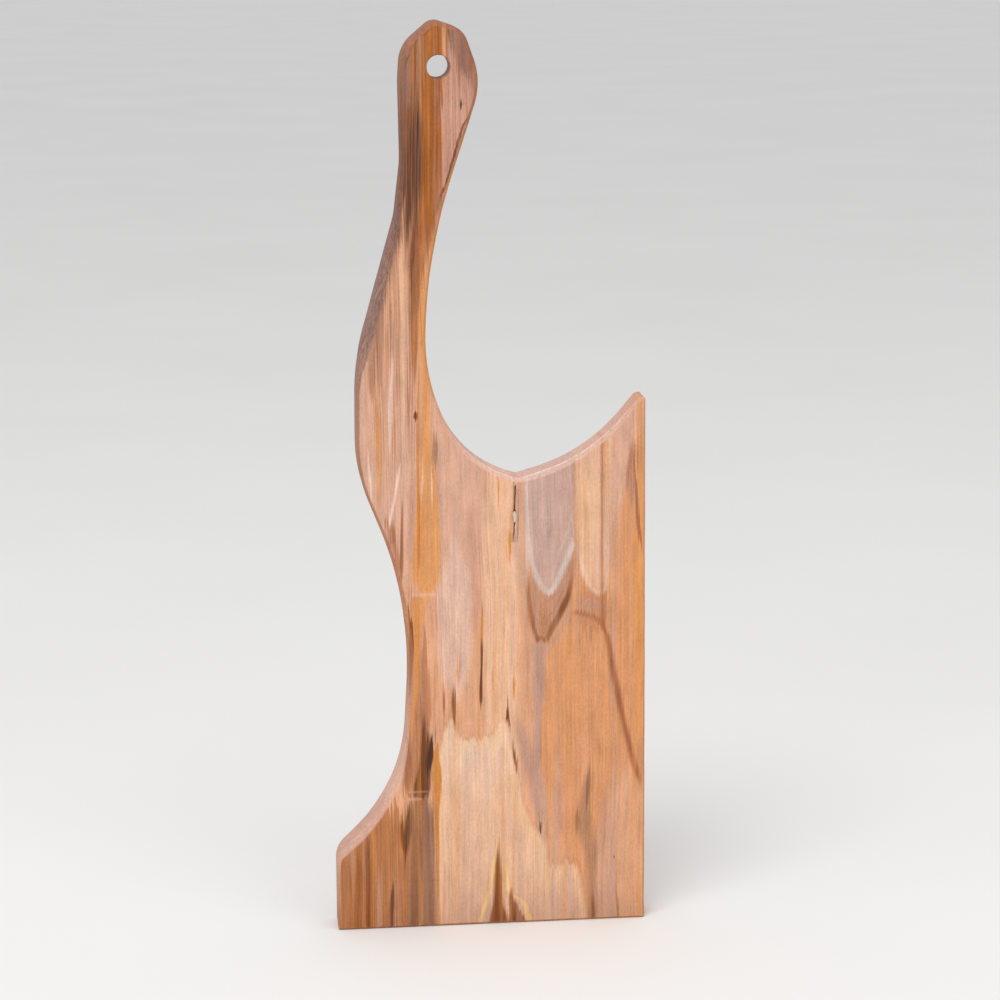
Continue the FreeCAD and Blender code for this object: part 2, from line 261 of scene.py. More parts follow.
BROAD_BANDS: tuple[Streak, ...] = (
    Streak(((40, 48), (170, 48)), ((30, 8), (60, 14), (100, 20), (150, 19), (175, 17), (200, 0)),
           Tint.TAN_ORANGE, 0.85, 6),
    Streak(((50, 6), (245, 6)), ((40, 4), (60, 9), (230, 8), (246, 7)), Tint.BUTTER, 0.75, 5),
    Streak(((120, -18), (200, -18)), ((112, 0), (140, 7), (185, 9), (205, 4), (225, 0)), Tint.ROSY, 0.6, 6,
           14),
    Streak(((160, -7), (200, -7.5), (235, -8)), ((152, 0), (175, 3), (205, 3.4), (235, 2), (245, 0)),
           Tint.DUSTY_PINK, 0.75, 3),
    Streak(((0, -66), (60, -62)), ((0, 18), (60, 16), (72, 6), (84, 0)), Tint.FOOT_BROWN, 0.85, 5),
    Streak(((0, -37.5), (72, -38)), ((0, 7), (60, 7), (73, 5), (80, 2), (90, 0)), Tint.MUSHROOM, 0.85, 4),
    Streak(((76, -40), (130, -38), (180, -40)), ((70, 0), (80, 5), (120, 6), (150, 4), (182, 3), (186, 0)),
           Tint.CLAY, 0.55, 4),
    Streak(((360, -46), (400, -39), (430, -39), (475, -40)),
           ((350, 0), (370, 3), (390, 5), (430, 6.5), (480, 8)), Tint.DUSK, 0.8, 3, 22, 0.35),
    Streak(((440, -39), (476, -38)), ((432, 0), (448, 5), (476, 6)), Tint.ASH_ROSE, 0.8, 3),
    Streak(((286, -59.5), (330, -56.5), (362, -50)), ((280, 0), (300, 2.4), (330, 2.6), (364, 0)),
           Tint.MUSHROOM, 0.7, 3, 22, 0.4),
    Streak(((180, -48.5), (226, -52)), ((176, 0), (195, 3.0), (215, 3.0), (232, 0)), Tint.DUSTY_PINK, 0.75,
           3),
    Streak(((196, 63), (232, 62)), ((190, 0), (205, 3), (225, 3), (240, 0)), Tint.LILAC_GREY, 0.8, 3),
    Streak(((225, 74), (262, 77)), ((218, 0), (236, 3), (258, 2.4), (266, 0)), Tint.CLAY, 0.75, 3, 22, 0.3),
    Streak(((60, 80), (170, 80)), ((56, 0), (90, 2.6), (150, 2.6), (176, 0)), Tint.CLAY, 0.5, 2.5, 22, 0.3),
    Streak(((188, -46.5), (215, -50.5), (230, -55)), ((184, 0), (200, 2.6), (216, 2.4), (234, 0)), Tint.CLAY,
           0.7, 2.4),
    Streak(((80, 73), (240, 72)), ((70, 0), (110, 7), (200, 7), (232, 3), (246, 0)), Tint.TAN_ORANGE, 0.75,
           4),
    Streak(((90, 72), (240, 70)), ((80, 0), (120, 7), (220, 7), (250, 0)), Tint.AMBER, 0.3, 3, 22, 1.0),
    Streak(((196, 52), (244, 54)), ((190, 0), (205, 5), (235, 6), (252, 0)), Tint.HONEY, 0.4, 4, 22, 0.4),
    Streak(((246, -51), (350, -46.5)), ((236, 0), (262, 9), (320, 8), (356, 0)), Tint.BROWN, 0.35, 3, 22,
           1.0),
    Streak(((246, -56), (320, -52)), ((236, 0), (262, 7), (300, 6), (330, 0)), Tint.AMBER, 0.3, 3, 22, 1.0),
    Streak(((250, -37), (350, -38)), ((240, 0), (262, 4), (320, 4), (356, 0)), Tint.RUST, 0.35, 3, 22, 1.0),
    Streak(((158, 54), (184, 55)), ((152, 0), (164, 7), (176, 8), (190, 0)), Tint.CLAY, 0.4, 4),
    Streak(((0, -66), (60, -62)), ((0, 16), (50, 14), (72, 0)), Tint.UMBER, 0.3, 4, 22, 1.0),
    Streak(((0, -38), (72, -38)), ((0, 6), (60, 6), (80, 0)), Tint.DUSK, 0.5, 4, 22, 1.0),
    Streak(((76, -38), (130, -38)), ((70, 0), (80, 6), (112, 5), (134, 0)), Tint.BROWN, 0.6, 4, 22, 0.8),
    Streak(((340, -35), (365, -33), (400, -28), (440, -26), (480, -25)),
           ((320, 0), (345, 2), (370, 4), (400, 5), (440, 5.5), (480, 5)), Tint.HANDLE_ORANGE, 0.85, 3),
    Streak(((380, -21), (400, -19.5), (430, -15), (465, -11)),
           ((372, 0), (395, 2.5), (410, 4), (440, 8), (480, 9)), Tint.HANDLE_PINK, 0.85, 2),
    Streak(((450, -9), (476, -12)), ((444, 0), (456, 4), (476, 7)), Tint.ASH_ROSE, 0.75, 3),
    Streak(((440, -5), (475, -8)), ((432, 0), (445, 2.5), (475, 3)), Tint.BROWN, 0.45, 3),
)

FIGURE: tuple[Streak, ...] = (
    # foot, left of the sapwood tongue
    Streak(((2, -66.5), (60, -66)), ((0, 1.2), (30, 1.5), (50, 1.1), (62, 0)), Tint.UMBER, 1.0, 1.4),
    Streak(((2, -78), (44, -78.5)), ((0, 1.1), (30, 1.0), (46, 0)), Tint.CLAY, 0.7, 1.4),
    Streak(((2, -72), (50, -71)), ((0, 2.2), (30, 1.8), (52, 0)), Tint.UMBER, 0.35, 2.0),
    Streak(((2, -60.5), (45, -60)), ((0, 1.6), (30, 1.2), (50, 0)), Tint.DUSTY_PINK, 0.5, 1.6),
    Streak(((2, -54.2), (28, -53.4)), ((0, 1.0), (12, 1.3), (29, 0)), Tint.DARK, 0.75, 1.0),
    Streak(((5, -50), (40, -48.5)), ((0, 0.8), (25, 1.0), (42, 0)), Tint.CLAY, 0.7),
    Streak(((36, -46), (60, -48)), ((34, 0), (44, 1.6), (58, 1.0), (64, 0)), Tint.UMBER, 0.7, 1.4),
    Streak(((38, -46), (52, -44.8), (65, -43.5), (82, -42.5)),
           ((32, 0), (44, 1.4), (55, 2.0), (68, 1.1), (86, 0)), Tint.CHAR, 0.85, 1.6, 22, 0.2),
    Streak(((3, -41.5), (62, -41)), ((0, 0.9), (40, 0.9), (66, 0)), Tint.BROWN, 0.7, 1.0),
    Streak(((3, -36), (30, -36), (62, -37)), ((0, 2.0), (30, 1.6), (66, 0)), Tint.SMOKE, 0.6, 1.4),
    Streak(((3, -32.2), (62, -32.6)), ((0, 1.0), (40, 0.9), (70, 0)), Tint.BROWN, 0.5, 1.0),
    Streak(((3, -28.4), (60, -29), (95, -29), (108, -27)),
           ((0, 0.7), (60, 1.3), (85, 2.2), (95, 1.6), (109, 0)), Tint.AMBER, 0.9, 0.9, 1.0),
    # dark heart beside the tongue's left margin
    Streak(((72, -37), (95, -34.8), (110, -34.6), (126, -35)),
           ((68, 0), (76, 4.0), (90, 3.0), (105, 2.4), (118, 1.1), (130, 0)), Tint.DARK, 0.75, 1.8, 10),
    Streak(((84, -33.5), (100, -31.5), (113, -30.6)), ((80, 0), (90, 1.7), (101, 1.4), (115, 0)), Tint.CHAR,
           0.85, 1.2),
    Streak(((74, -45), (100, -44)), ((70, 0), (80, 2), (100, 1.2), (112, 0)), Tint.BROWN, 0.6, 1.5),
    # left side of the waist
    Streak(((75, -43), (120, -41.5), (135, -38.6), (165, -38.2), (181, -37)),
           ((84, 0), (110, 1.6), (135, 1.8), (160, 2.6), (179.5, 3.4), (184, 0)), Tint.ORANGE, 0.8, 2.4, 3,
           0.3),
    Streak(((95, -46.5), (180, -44.2)), ((92, 0), (110, 1.8), (150, 1.6), (186, 0)), Tint.CLAY, 0.7, 1.2),
    Streak(((116, -42.6), (140, -41.9), (160, -41.3), (172, -42.3), (184, -43.8)),
           ((114, 0.2), (140, 0.8), (158, 1.1), (170, 0.6), (186, 0)), Tint.DARK, 0.85, 0.7),
    Streak(((106, -33.5), (150, -34.4), (170, -35)), ((104, 0), (120, 2.4), (150, 1.8), (172, 0)), Tint.CLAY,
           0.65, 1.4),
    Streak(((112, -29.5), (160, -29)), ((108, 0), (130, 1.0), (168, 0)), Tint.CLAY, 0.45, 1.2),
    # the strong orange stripe, from the waist up into the neck
    Streak(((183, -32.8), (200, -32.6), (225, -32.0), (245, -32), (262, -32), (300, -32.4), (340, -33)),
           ((177, 0), (190, 6.2), (205, 6.8), (225, 5.8), (245, 4.6), (262, 3.4), (285, 3.0), (330, 2.2),
            (365, 1.6), (372, 0)), Tint.ORANGE, 0.85, 2.8, 14, 0.3),
    Streak(((186, -37.6), (215, -36.8), (245, -36.6), (300, -36)),
           ((184, 0.4), (200, 1.0), (240, 0.8), (290, 0.6), (318, 0)), Tint.RESIN, 0.6, 1.0, 1.5),
    Streak(((230, -29.4), (262, -30)), ((226, 0), (240, 0.5), (264, 0)), Tint.CREAM, 0.45, 0.6),
    Streak(((225, -34.8), (262, -34.4)), ((221, 0), (240, 0.5), (266, 0)), Tint.CREAM, 0.4, 0.6),
    # left shoulder
    Streak(((196, -46), (205, -45.8), (235, -45.2), (252, -45)),
           ((194, 0), (200, 1.0), (225, 0.6), (254, 0)), Tint.BROWN, 0.8),
    Streak(((200, -41.4), (245, -39.4)), ((190, 0), (215, 1.6), (240, 1.3), (262, 0)), Tint.DUSTY_PINK, 0.8),
    Streak(((217, -52), (235, -49), (250, -46.3), (262, -44.6)),
           ((216, 0.3), (225, 1.0), (245, 0.9), (265, 0)), Tint.CREAM, 0.5, 1.2, 4.0),
    Streak(((226, -56.5), (285, -57)), ((222, 0), (240, 1.2), (270, 1.3), (290, 0)), Tint.ORANGE, 0.55, 1.4),
    Streak(((232, -61), (262, -62.6)), ((228, 0), (245, 1.0), (268, 0)), Tint.CREAM, 0.5, 1.0),
    Streak(((240, -51.5), (330, -49)), ((236, 0), (280, 1.4), (335, 0)), Tint.CREAM, 0.4, 1.4),
    Streak(((245, -27.6), (274, -27.9)), ((243, 0), (258, 1.4), (276, 0)), Tint.SMOKE, 0.7, 1.0),
    Streak(((273, -37.5), (283, -37.5)), ((273, 0), (278, 0.9), (283, 0)), Tint.DARK, 0.9, 0.6, 1.0),
    # middle of the body
    Streak(((116, -5.3), (130, -5), (150, -4.4), (176, -4)),
           ((115, 0), (124, 0.9), (140, 0.7), (158, 0.6), (178, 0)), Tint.DARK, 0.8, 0.7),
    Streak(((150, -4.2), (184, -3.8)), ((148, 0), (164, 0.7), (186, 0)), Tint.AMBER, 0.8, 0.7),
    Streak(((104, -18.8), (122, -19.3), (137, -19.2)), ((102, 0), (118, 0.9), (125, 1.2), (139, 0)),
           Tint.DARK, 0.7),
    Streak(((132, -16.8), (151, -17)), ((131, 0), (140, 1.2), (152, 0)), Tint.RESIN, 0.5, 1.2),
    Streak(((112, -24.8), (146, -24.6)), ((110, 0), (122, 0.7), (148, 0)), Tint.BROWN, 0.7, 0.6),
    Streak(((120, 1.6), (150, 1.2)), ((116, 0), (135, 0.5), (152, 0)), Tint.CLAY, 0.5, 0.6),
    Streak(((126, 12.6), (142, 12.6)), ((123, 0), (133, 0.7), (144, 0)), Tint.AMBER, 0.8, 0.6),
    Streak(((198, 11), (212, 11.2), (226, 12)), ((196, 0), (210, 0.9), (226, 0.5), (232, 0)), Tint.ORANGE,
           0.85, 0.7),
    Streak(((226, 5), (248, 4.6)), ((224, 0), (236, 0.7), (250, 0.3)), Tint.AMBER, 0.75, 0.7),
    Streak(((208, 12.7), (221, 13.1)), ((206, 0), (216, 0.35), (222, 0.3)), Tint.BROWN, 0.7, 0.4, 1.0),
    Streak(((206, 14.6), (226, 15.4)), ((204, 0), (216, 0.4), (228, 0.3)), Tint.BROWN, 0.5, 0.4, 1.0),
    # right of the tongue
    Streak(((107, 9.7), (121, 8.6)), ((106, 0), (113, 1.2), (122, 0)), Tint.DARK, 0.85),
    Streak(((78, 15), (90, 13.2), (104, 11.6)), ((77, 0), (90, 1.2), (99, 0.7), (106, 0)), Tint.DARK, 0.7,
           1.0),
    Streak(((52, 27), (75, 24.5), (95, 19.5), (112, 15), (128, 14)),
           ((48, 0), (58, 3.2), (75, 5.2), (95, 4.6), (112, 3), (130, 0)), Tint.LILAC, 0.7, 5.0, 14),
    Streak(((50, 26.3), (62, 26)), ((49, 0), (56, 1.0), (63, 0)), Tint.CHAR, 0.85),
    Streak(((86, 24.5), (120, 25.5), (150, 26.5), (157, 27)),
           ((80, 0), (90, 2.2), (110, 2.0), (135, 3.0), (154, 2.6), (158, 0)), Tint.LILAC, 0.85, 1.8, 2),
    Streak(((60, 36), (115, 37)), ((35, 0), (60, 4), (90, 1.8), (118, 0)), Tint.DUSTY_PINK, 0.45, 3.0),
    Streak(((30, 60), (60, 63), (100, 68)), ((0, 7), (40, 6), (75, 4), (105, 0)), Tint.LILAC, 0.35, 5.0),
    # olive smoke on the right
    Streak(((2, 54), (30, 54), (60, 50), (85, 52.5), (95, 53.5)),
           ((0, 3.4), (20, 3.0), (50, 4.6), (75, 3.2), (104, 0)), Tint.SMOKE, 0.7, 3.8, 18, 0.3),
    Streak(((56, 51), (75, 51.5), (93, 53)), ((54, 0), (72, 1.1), (95, 0)), Tint.BROWN, 0.65, 1.2, 10),
    Streak(((44, 45.5), (68, 46.5)), ((42, 0), (58, 1.3), (70, 0)), Tint.BROWN, 0.5, 1.4, 10),
    Streak(((2, 54.5), (22, 53.4)), ((0, 1.0), (12, 0.8), (24, 0)), Tint.BROWN, 0.75, 1.0),
    Streak(((2, 68), (22, 66.8)), ((0, 0.9), (14, 0.7), (26, 0)), Tint.BROWN, 0.5, 0.9),
    Streak(((33, 65.8), (36, 65.8)), ((33, 0), (34.5, 0.8), (36, 0)), Tint.BROWN, 0.8, 0.5, 0.5),
    # right edge
    Streak(((72, 80), (88, 76.3), (105, 72.3), (120, 69), (140, 65.2), (158, 62), (164, 59.5)),
           ((70, 0), (82, 2.2), (100, 2.0), (130, 2.2), (155, 2.0), (165, 1.4)), Tint.RUST, 0.85, 2.6, 1.5),
    Streak(((2, 79), (60, 79.5), (255, 79.5)),
           ((0, 1.0), (12, 1.8), (40, 0.9), (120, 1.5), (170, 3.2), (215, 3.2), (255, 2)), Tint.ORANGE, 0.6,
           2.0),
    Streak(((200, 80.5), (214, 79), (230, 77.8), (266, 75.8)),
           ((199, 0), (212, 1.1), (230, 0.9), (268, 0.3)), Tint.RUST, 0.85, 0.9),
    Streak(((236, 73), (272, 76)), ((232, 0), (250, 1.6), (276, 0)), Tint.RUST, 0.5, 2.0),
    # flame at the foot, with its yellow outline
    Streak(((0, -6.5), (14, -2.6), (33, 0.8), (56, 4)), ((0, 1.2), (30, 1.0), (57, 0)), Tint.HONEY, 0.75,
           1.0, 1),
    Streak(((0, 20), (12, 16.5), (17, 10), (33, 7.2), (56, 4.6)), ((0, 1.4), (12, 1.2), (30, 0.9), (57, 0)),
           Tint.HONEY, 0.75, 1.0, 1),
    Streak(((0, 3.4), (30, 3.2), (40, 3.5), (56, 4.5)), ((0, 4.4), (12, 2.9), (28, 2.1), (40, 1.2), (57, 0)),
           Tint.UMBER, 0.75, 1.4, 5),
    Streak(((0, 2.4), (20, 2.8), (42, 3.4)), ((0, 1.5), (20, 0.9), (43, 0)), Tint.DARK, 0.6, 1.2, 22, 0.5),
    Streak(((0, 13.5), (18, 10)), ((0, 4.2), (8, 2.6), (18, 0.9), (22, 0)), Tint.UMBER, 0.7, 1.6, 5),
    Streak(((0, 11.5), (12, 11)), ((0, 1.0), (8, 0.7), (13, 0)), Tint.DARK, 0.7, 0.8),
    # neck
    Streak(((286, -37.8), (320, -37.4), (350, -37.2), (385, -36.6)),
           ((283, 0), (300, 0.9), (320, 1.9), (345, 2.4), (365, 2.0), (388, 1)), Tint.BROWN, 0.8, 1.4),
    Streak(((305, -38.6), (350, -38.8)), ((300, 0), (330, 0.5), (355, 0.7), (362, 0)), Tint.DARK, 0.6, 0.7),
    Streak(((300, -33.6), (345, -34.4)), ((296, 0), (325, 0.6), (350, 0)), Tint.RESIN, 0.6, 0.9),
    Streak(((285, -55.5), (330, -55), (357, -50.6)), ((282, 0), (300, 1.5), (330, 1.9), (360, 0.7)),
           Tint.MUSHROOM, 0.5, 1.8),
    Streak(((282, -60), (312, -61)), ((280, 0), (296, 1.0), (316, 0)), Tint.CLAY, 0.55, 1.2),
    Streak(((240, -44.4), (310, -43.6), (350, -43.6), (380, -42.2), (403, -40.4)),
           ((236, 0), (270, 1.2), (320, 1.5), (360, 1.5), (385, 1.0), (405, 0)), Tint.BUTTER, 0.5, 1.4, 8),
    Streak(((330, -47.4), (372, -45.4)), ((320, 0), (350, 1.1), (378, 0)), Tint.DUSTY_PINK, 0.6, 1.0),
    Streak(((352, -33), (385, -31)), ((346, 0), (360, 1.6), (376, 1.4), (390, 0)), Tint.BROWN, 0.6, 1.4, 22,
           0.5),
    Streak(((354, -38.4), (372, -37.6)), ((348, 0), (360, 1.6), (380, 0)), Tint.DARK, 0.75, 1.2, 22, 0.5),
    Streak(((366, -43.4), (396, -41)), ((362, 0), (378, 1.4), (398, 0)), Tint.CLAY, 0.5, 1.2),
    Streak(((296, -50), (345, -49)), ((290, 0), (320, 2.4), (350, 0)), Tint.ASH_ROSE, 0.45, 1.6, 22, 0.8),
    Streak(((262, -41.4), (330, -41.2)), ((256, 0), (290, 0.7), (335, 0)), Tint.RUST, 0.6, 0.8),
    Streak(((270, -47), (330, -46.6)), ((264, 0), (300, 0.6), (335, 0)), Tint.RUST, 0.5, 0.8),
    # handle
    Streak(((360, -41.5), (400, -38.5), (440, -37.5)),
           ((352, 0), (380, 3.4), (410, 4.6), (435, 3.2), (450, 0)), Tint.CHAR, 0.6, 1.6, 22, 1.0),
    Streak(((362, -36.4), (400, -34), (425, -33.2)), ((356, 0), (375, 1.6), (405, 1.8), (440, 0)), Tint.INK,
           0.5, 1.2, 22, 0.9),
    Streak(((376, -26.6), (400, -19.5), (426, -11.5), (434, -8.5)),
           ((372, 0), (385, 0.6), (424, 0.8), (437, 0)), Tint.DUSK, 0.85, 0.7, 6),
    Streak(((385, -30), (440, -28), (470, -27)), ((378, 0), (400, 3.0), (445, 3.0), (476, 0)), Tint.UMBER,
           0.5, 1.6, 22, 0.9),
    Streak(((452, -40.5), (470, -34), (476.5, -27)), ((450, 0), (460, 0.5), (474, 0.5), (478, 0)), Tint.DUSK,
           0.8, 0.7, 4),
    Streak(((365, -38.8), (400, -38), (430, -37), (446, -36.6)),
           ((362, 0), (385, 1.5), (405, 2.1), (425, 1.5), (447, 0)), Tint.CHAR, 0.7, 1.4, 22, 0.6),
    Streak(((356, -37.2), (385, -36), (400, -35), (420, -34.3), (446, -33.6)),
           ((352, 0), (375, 0.8), (395, 1.2), (415, 1.2), (435, 0.7), (448, 0)), Tint.INK, 0.7, 1.0, 22,
           0.4),
    Streak(((436, -35.8), (470, -35.4)), ((434, 0), (450, 0.5), (466, 0.4), (472, 0)), Tint.UMBER, 0.85, 0.4,
           2),
    Streak(((410, -42.6), (450, -42.4)), ((400, 0), (425, 0.6), (455, 0)), Tint.CHAR, 0.5, 1.0),
    Streak(((434, -13), (477, -13.5)), ((432, 0), (455, 0.6), (474, 0.4), (478, 0)), Tint.BROWN, 0.85, 0.5,
           2),
    Streak(((433, -12.4), (441, -12.2)), ((432.5, 0), (437, 0.7), (441.5, 0)), Tint.CHAR, 0.8, 0.4, 1),
    Streak(((378, -25.4), (410, -24), (438, -23.5)), ((370, 0), (395, 1.5), (415, 1.6), (442, 0)),
           Tint.HANDLE_CORE, 0.85, 1.4),
    Streak(((462, -18.9), (480, -18.6)), ((460, 0), (470, 0.9), (479, 0.7)), Tint.UMBER, 0.7, 0.8),
    Streak(((425, -23.7), (450, -23.6)), ((422, 0), (440, 0.4), (450, 0.4)), Tint.UMBER, 0.75, 0.4, 2),
    Streak(((430, -21.7), (450, -21.9)), ((426, 0), (440, 0.4), (450, 0.5)), Tint.UMBER, 0.7, 0.4, 2),
    Streak(((420, -29), (462, -29.2)), ((416, 0), (440, 0.5), (464, 0)), Tint.UMBER, 0.6, 0.6, 2),
    Streak(((385, -31.6), (432, -31)), ((378, 0), (405, 0.8), (436, 0)), Tint.UMBER, 0.5, 0.9),
    Streak(((372, -29), (405, -28)), ((366, 0), (388, 0.7), (410, 0)), Tint.UMBER, 0.45, 0.9),
    Streak(((372, -22.6), (432, -8)), ((366, 0), (385, 0.5), (425, 0.9), (440, 0)), Tint.UMBER, 0.5, 0.8, 2),
    Streak(((345, -31), (385, -25.4)), ((338, 0), (362, 0.9), (388, 0)), Tint.ORANGE, 0.55, 1.0),
)

TONGUE = Bow((
    (-29.0, 0.0), (-28.2, 60.0), (-27.6, 92.0), (-24.5, 108.0), (-20.5, 114.5), (-18.4, 112.0),
    (-16.5, 104.5), (-8.0, 103.0), (0.0, 104.0), (3.8, 110.5), (6.8, 113.5), (8.8, 108.0), (10.4, 98.0),
    (13.2, 83.0), (17.0, 68.0), (23.5, 54.0), (29.0, 44.0), (31.0, 32.5), (34.5, 31.8), (39.0, 33.5),
    (43.5, 33.6), (47.0, 28.0), (49.5, 15.0), (51.5, 3.0), (53.0, 0.0),
))
UPPER_BOW = Bow((
    (19.0, 262.0), (19.4, 235.0), (20.4, 210.0), (22.6, 196.0), (26.0, 187.0), (29.0, 182.5),
    (31.5, 181.5), (34.5, 184.0), (38.0, 191.0), (41.5, 199.0), (45.0, 206.0),
))
LOWER_BOW = Bow((
    (18.5, 196.0), (20.5, 175.0), (23.0, 162.0), (26.0, 155.5), (29.0, 155.0), (33.0, 161.0),
    (38.0, 170.0), (42.0, 179.0), (45.0, 190.0),
))
RIGHT_BOW = Bow((
    (45.0, 210.0), (47.0, 198.0), (50.0, 188.0), (54.0, 181.5), (59.0, 179.5), (62.0, 183.0),
    (64.0, 200.0), (66.0, 225.0), (67.0, 250.0),
))
RUST_BOW = Bow(((44.0, 171.0), (50.0, 169.5), (56.0, 167.0), (60.0, 163.0), (62.0, 158.0)))

CROSS_MARKS: tuple[CrossMark, ...] = (
    CrossMark(183.0, -42.5, -27.0, 0.9, Tint.BUTTER, 0.7),
    CrossMark(162.5, -27.0, -21.0, 1.0, Tint.ROSY, 0.6),
    CrossMark(75.6, -45.0, -33.0, 0.5, Tint.BLUSH, 0.5),
    CrossMark(71.6, -45.0, -36.0, 0.7, Tint.BLUSH, 0.6),
    CrossMark(68.8, -44.0, -35.0, 0.4, Tint.DARK, 0.35),
    CrossMark(26.0, -45.0, -27.0, 0.5, Tint.UMBER, 0.3),
)


@dataclass(frozen=True)
class Pattern:
    """A pattern of smooth chance: how fast it changes across, into and up the board, per millimetre.

    Detail is how many finer layers it has, and roughness is how strong they are.
    """

    across: float
    into: float
    up: float
    detail: float = 2.0
    roughness: float = 0.5


SWAY = Pattern(0.02, 0.02, 0.008, 1.0)
FIBRE = Pattern(1.3, 0.9, 0.022, 3.0, 0.6)
GROWTH_LINES = Pattern(0.62, 0.4, 0.011, 3.0, 0.65)
STRANDS = Pattern(1.5, 0.6, 0.012, 2.0, 0.6)
WARM_AND_COOL = Pattern(0.22, 0.12, 0.007)
PORES = Pattern(2.4, 2.0, 0.1, 1.0)
MOTTLE = Pattern(1.1, 1.1, 0.6, 3.0, 0.7)
CLOUD = Pattern(0.17, 0.1, 0.05, 3.0, 0.62)
CALM_PATCHES = Pattern(0.07, 0.1, 0.02, 1.0)
SCRATCHES = Pattern(0.9, 0.35, 0.9, 3.0, 0.65)
SIDE_GRAIN = Pattern(0.5, 1.4, 0.05, 3.0, 0.6)
RASP_STROKES = Pattern(1.25, 0.8, 0.24, 3.0, 0.75)
RAISED_FIBRES = Pattern(1.3, 0.9, 0.022, 2.0, 0.6)
OPEN_PORES = Pattern(2.6, 2.0, 0.11, 1.0)
RASP_RELIEF = Pattern(0.8, 0.8, 0.8, 2.0, 0.6)
FILLER_CLOUD = Pattern(1.2, 1.2, 0.5, 3.0, 0.6)
FILLER_GRIT = Pattern(6.0, 6.0, 6.0, 2.0, 0.6)
# Sine and cosine of how far the neck's carved edge leans from upright. Rasp strokes lie along it.
LEAN, RISE = 0.266, 0.964


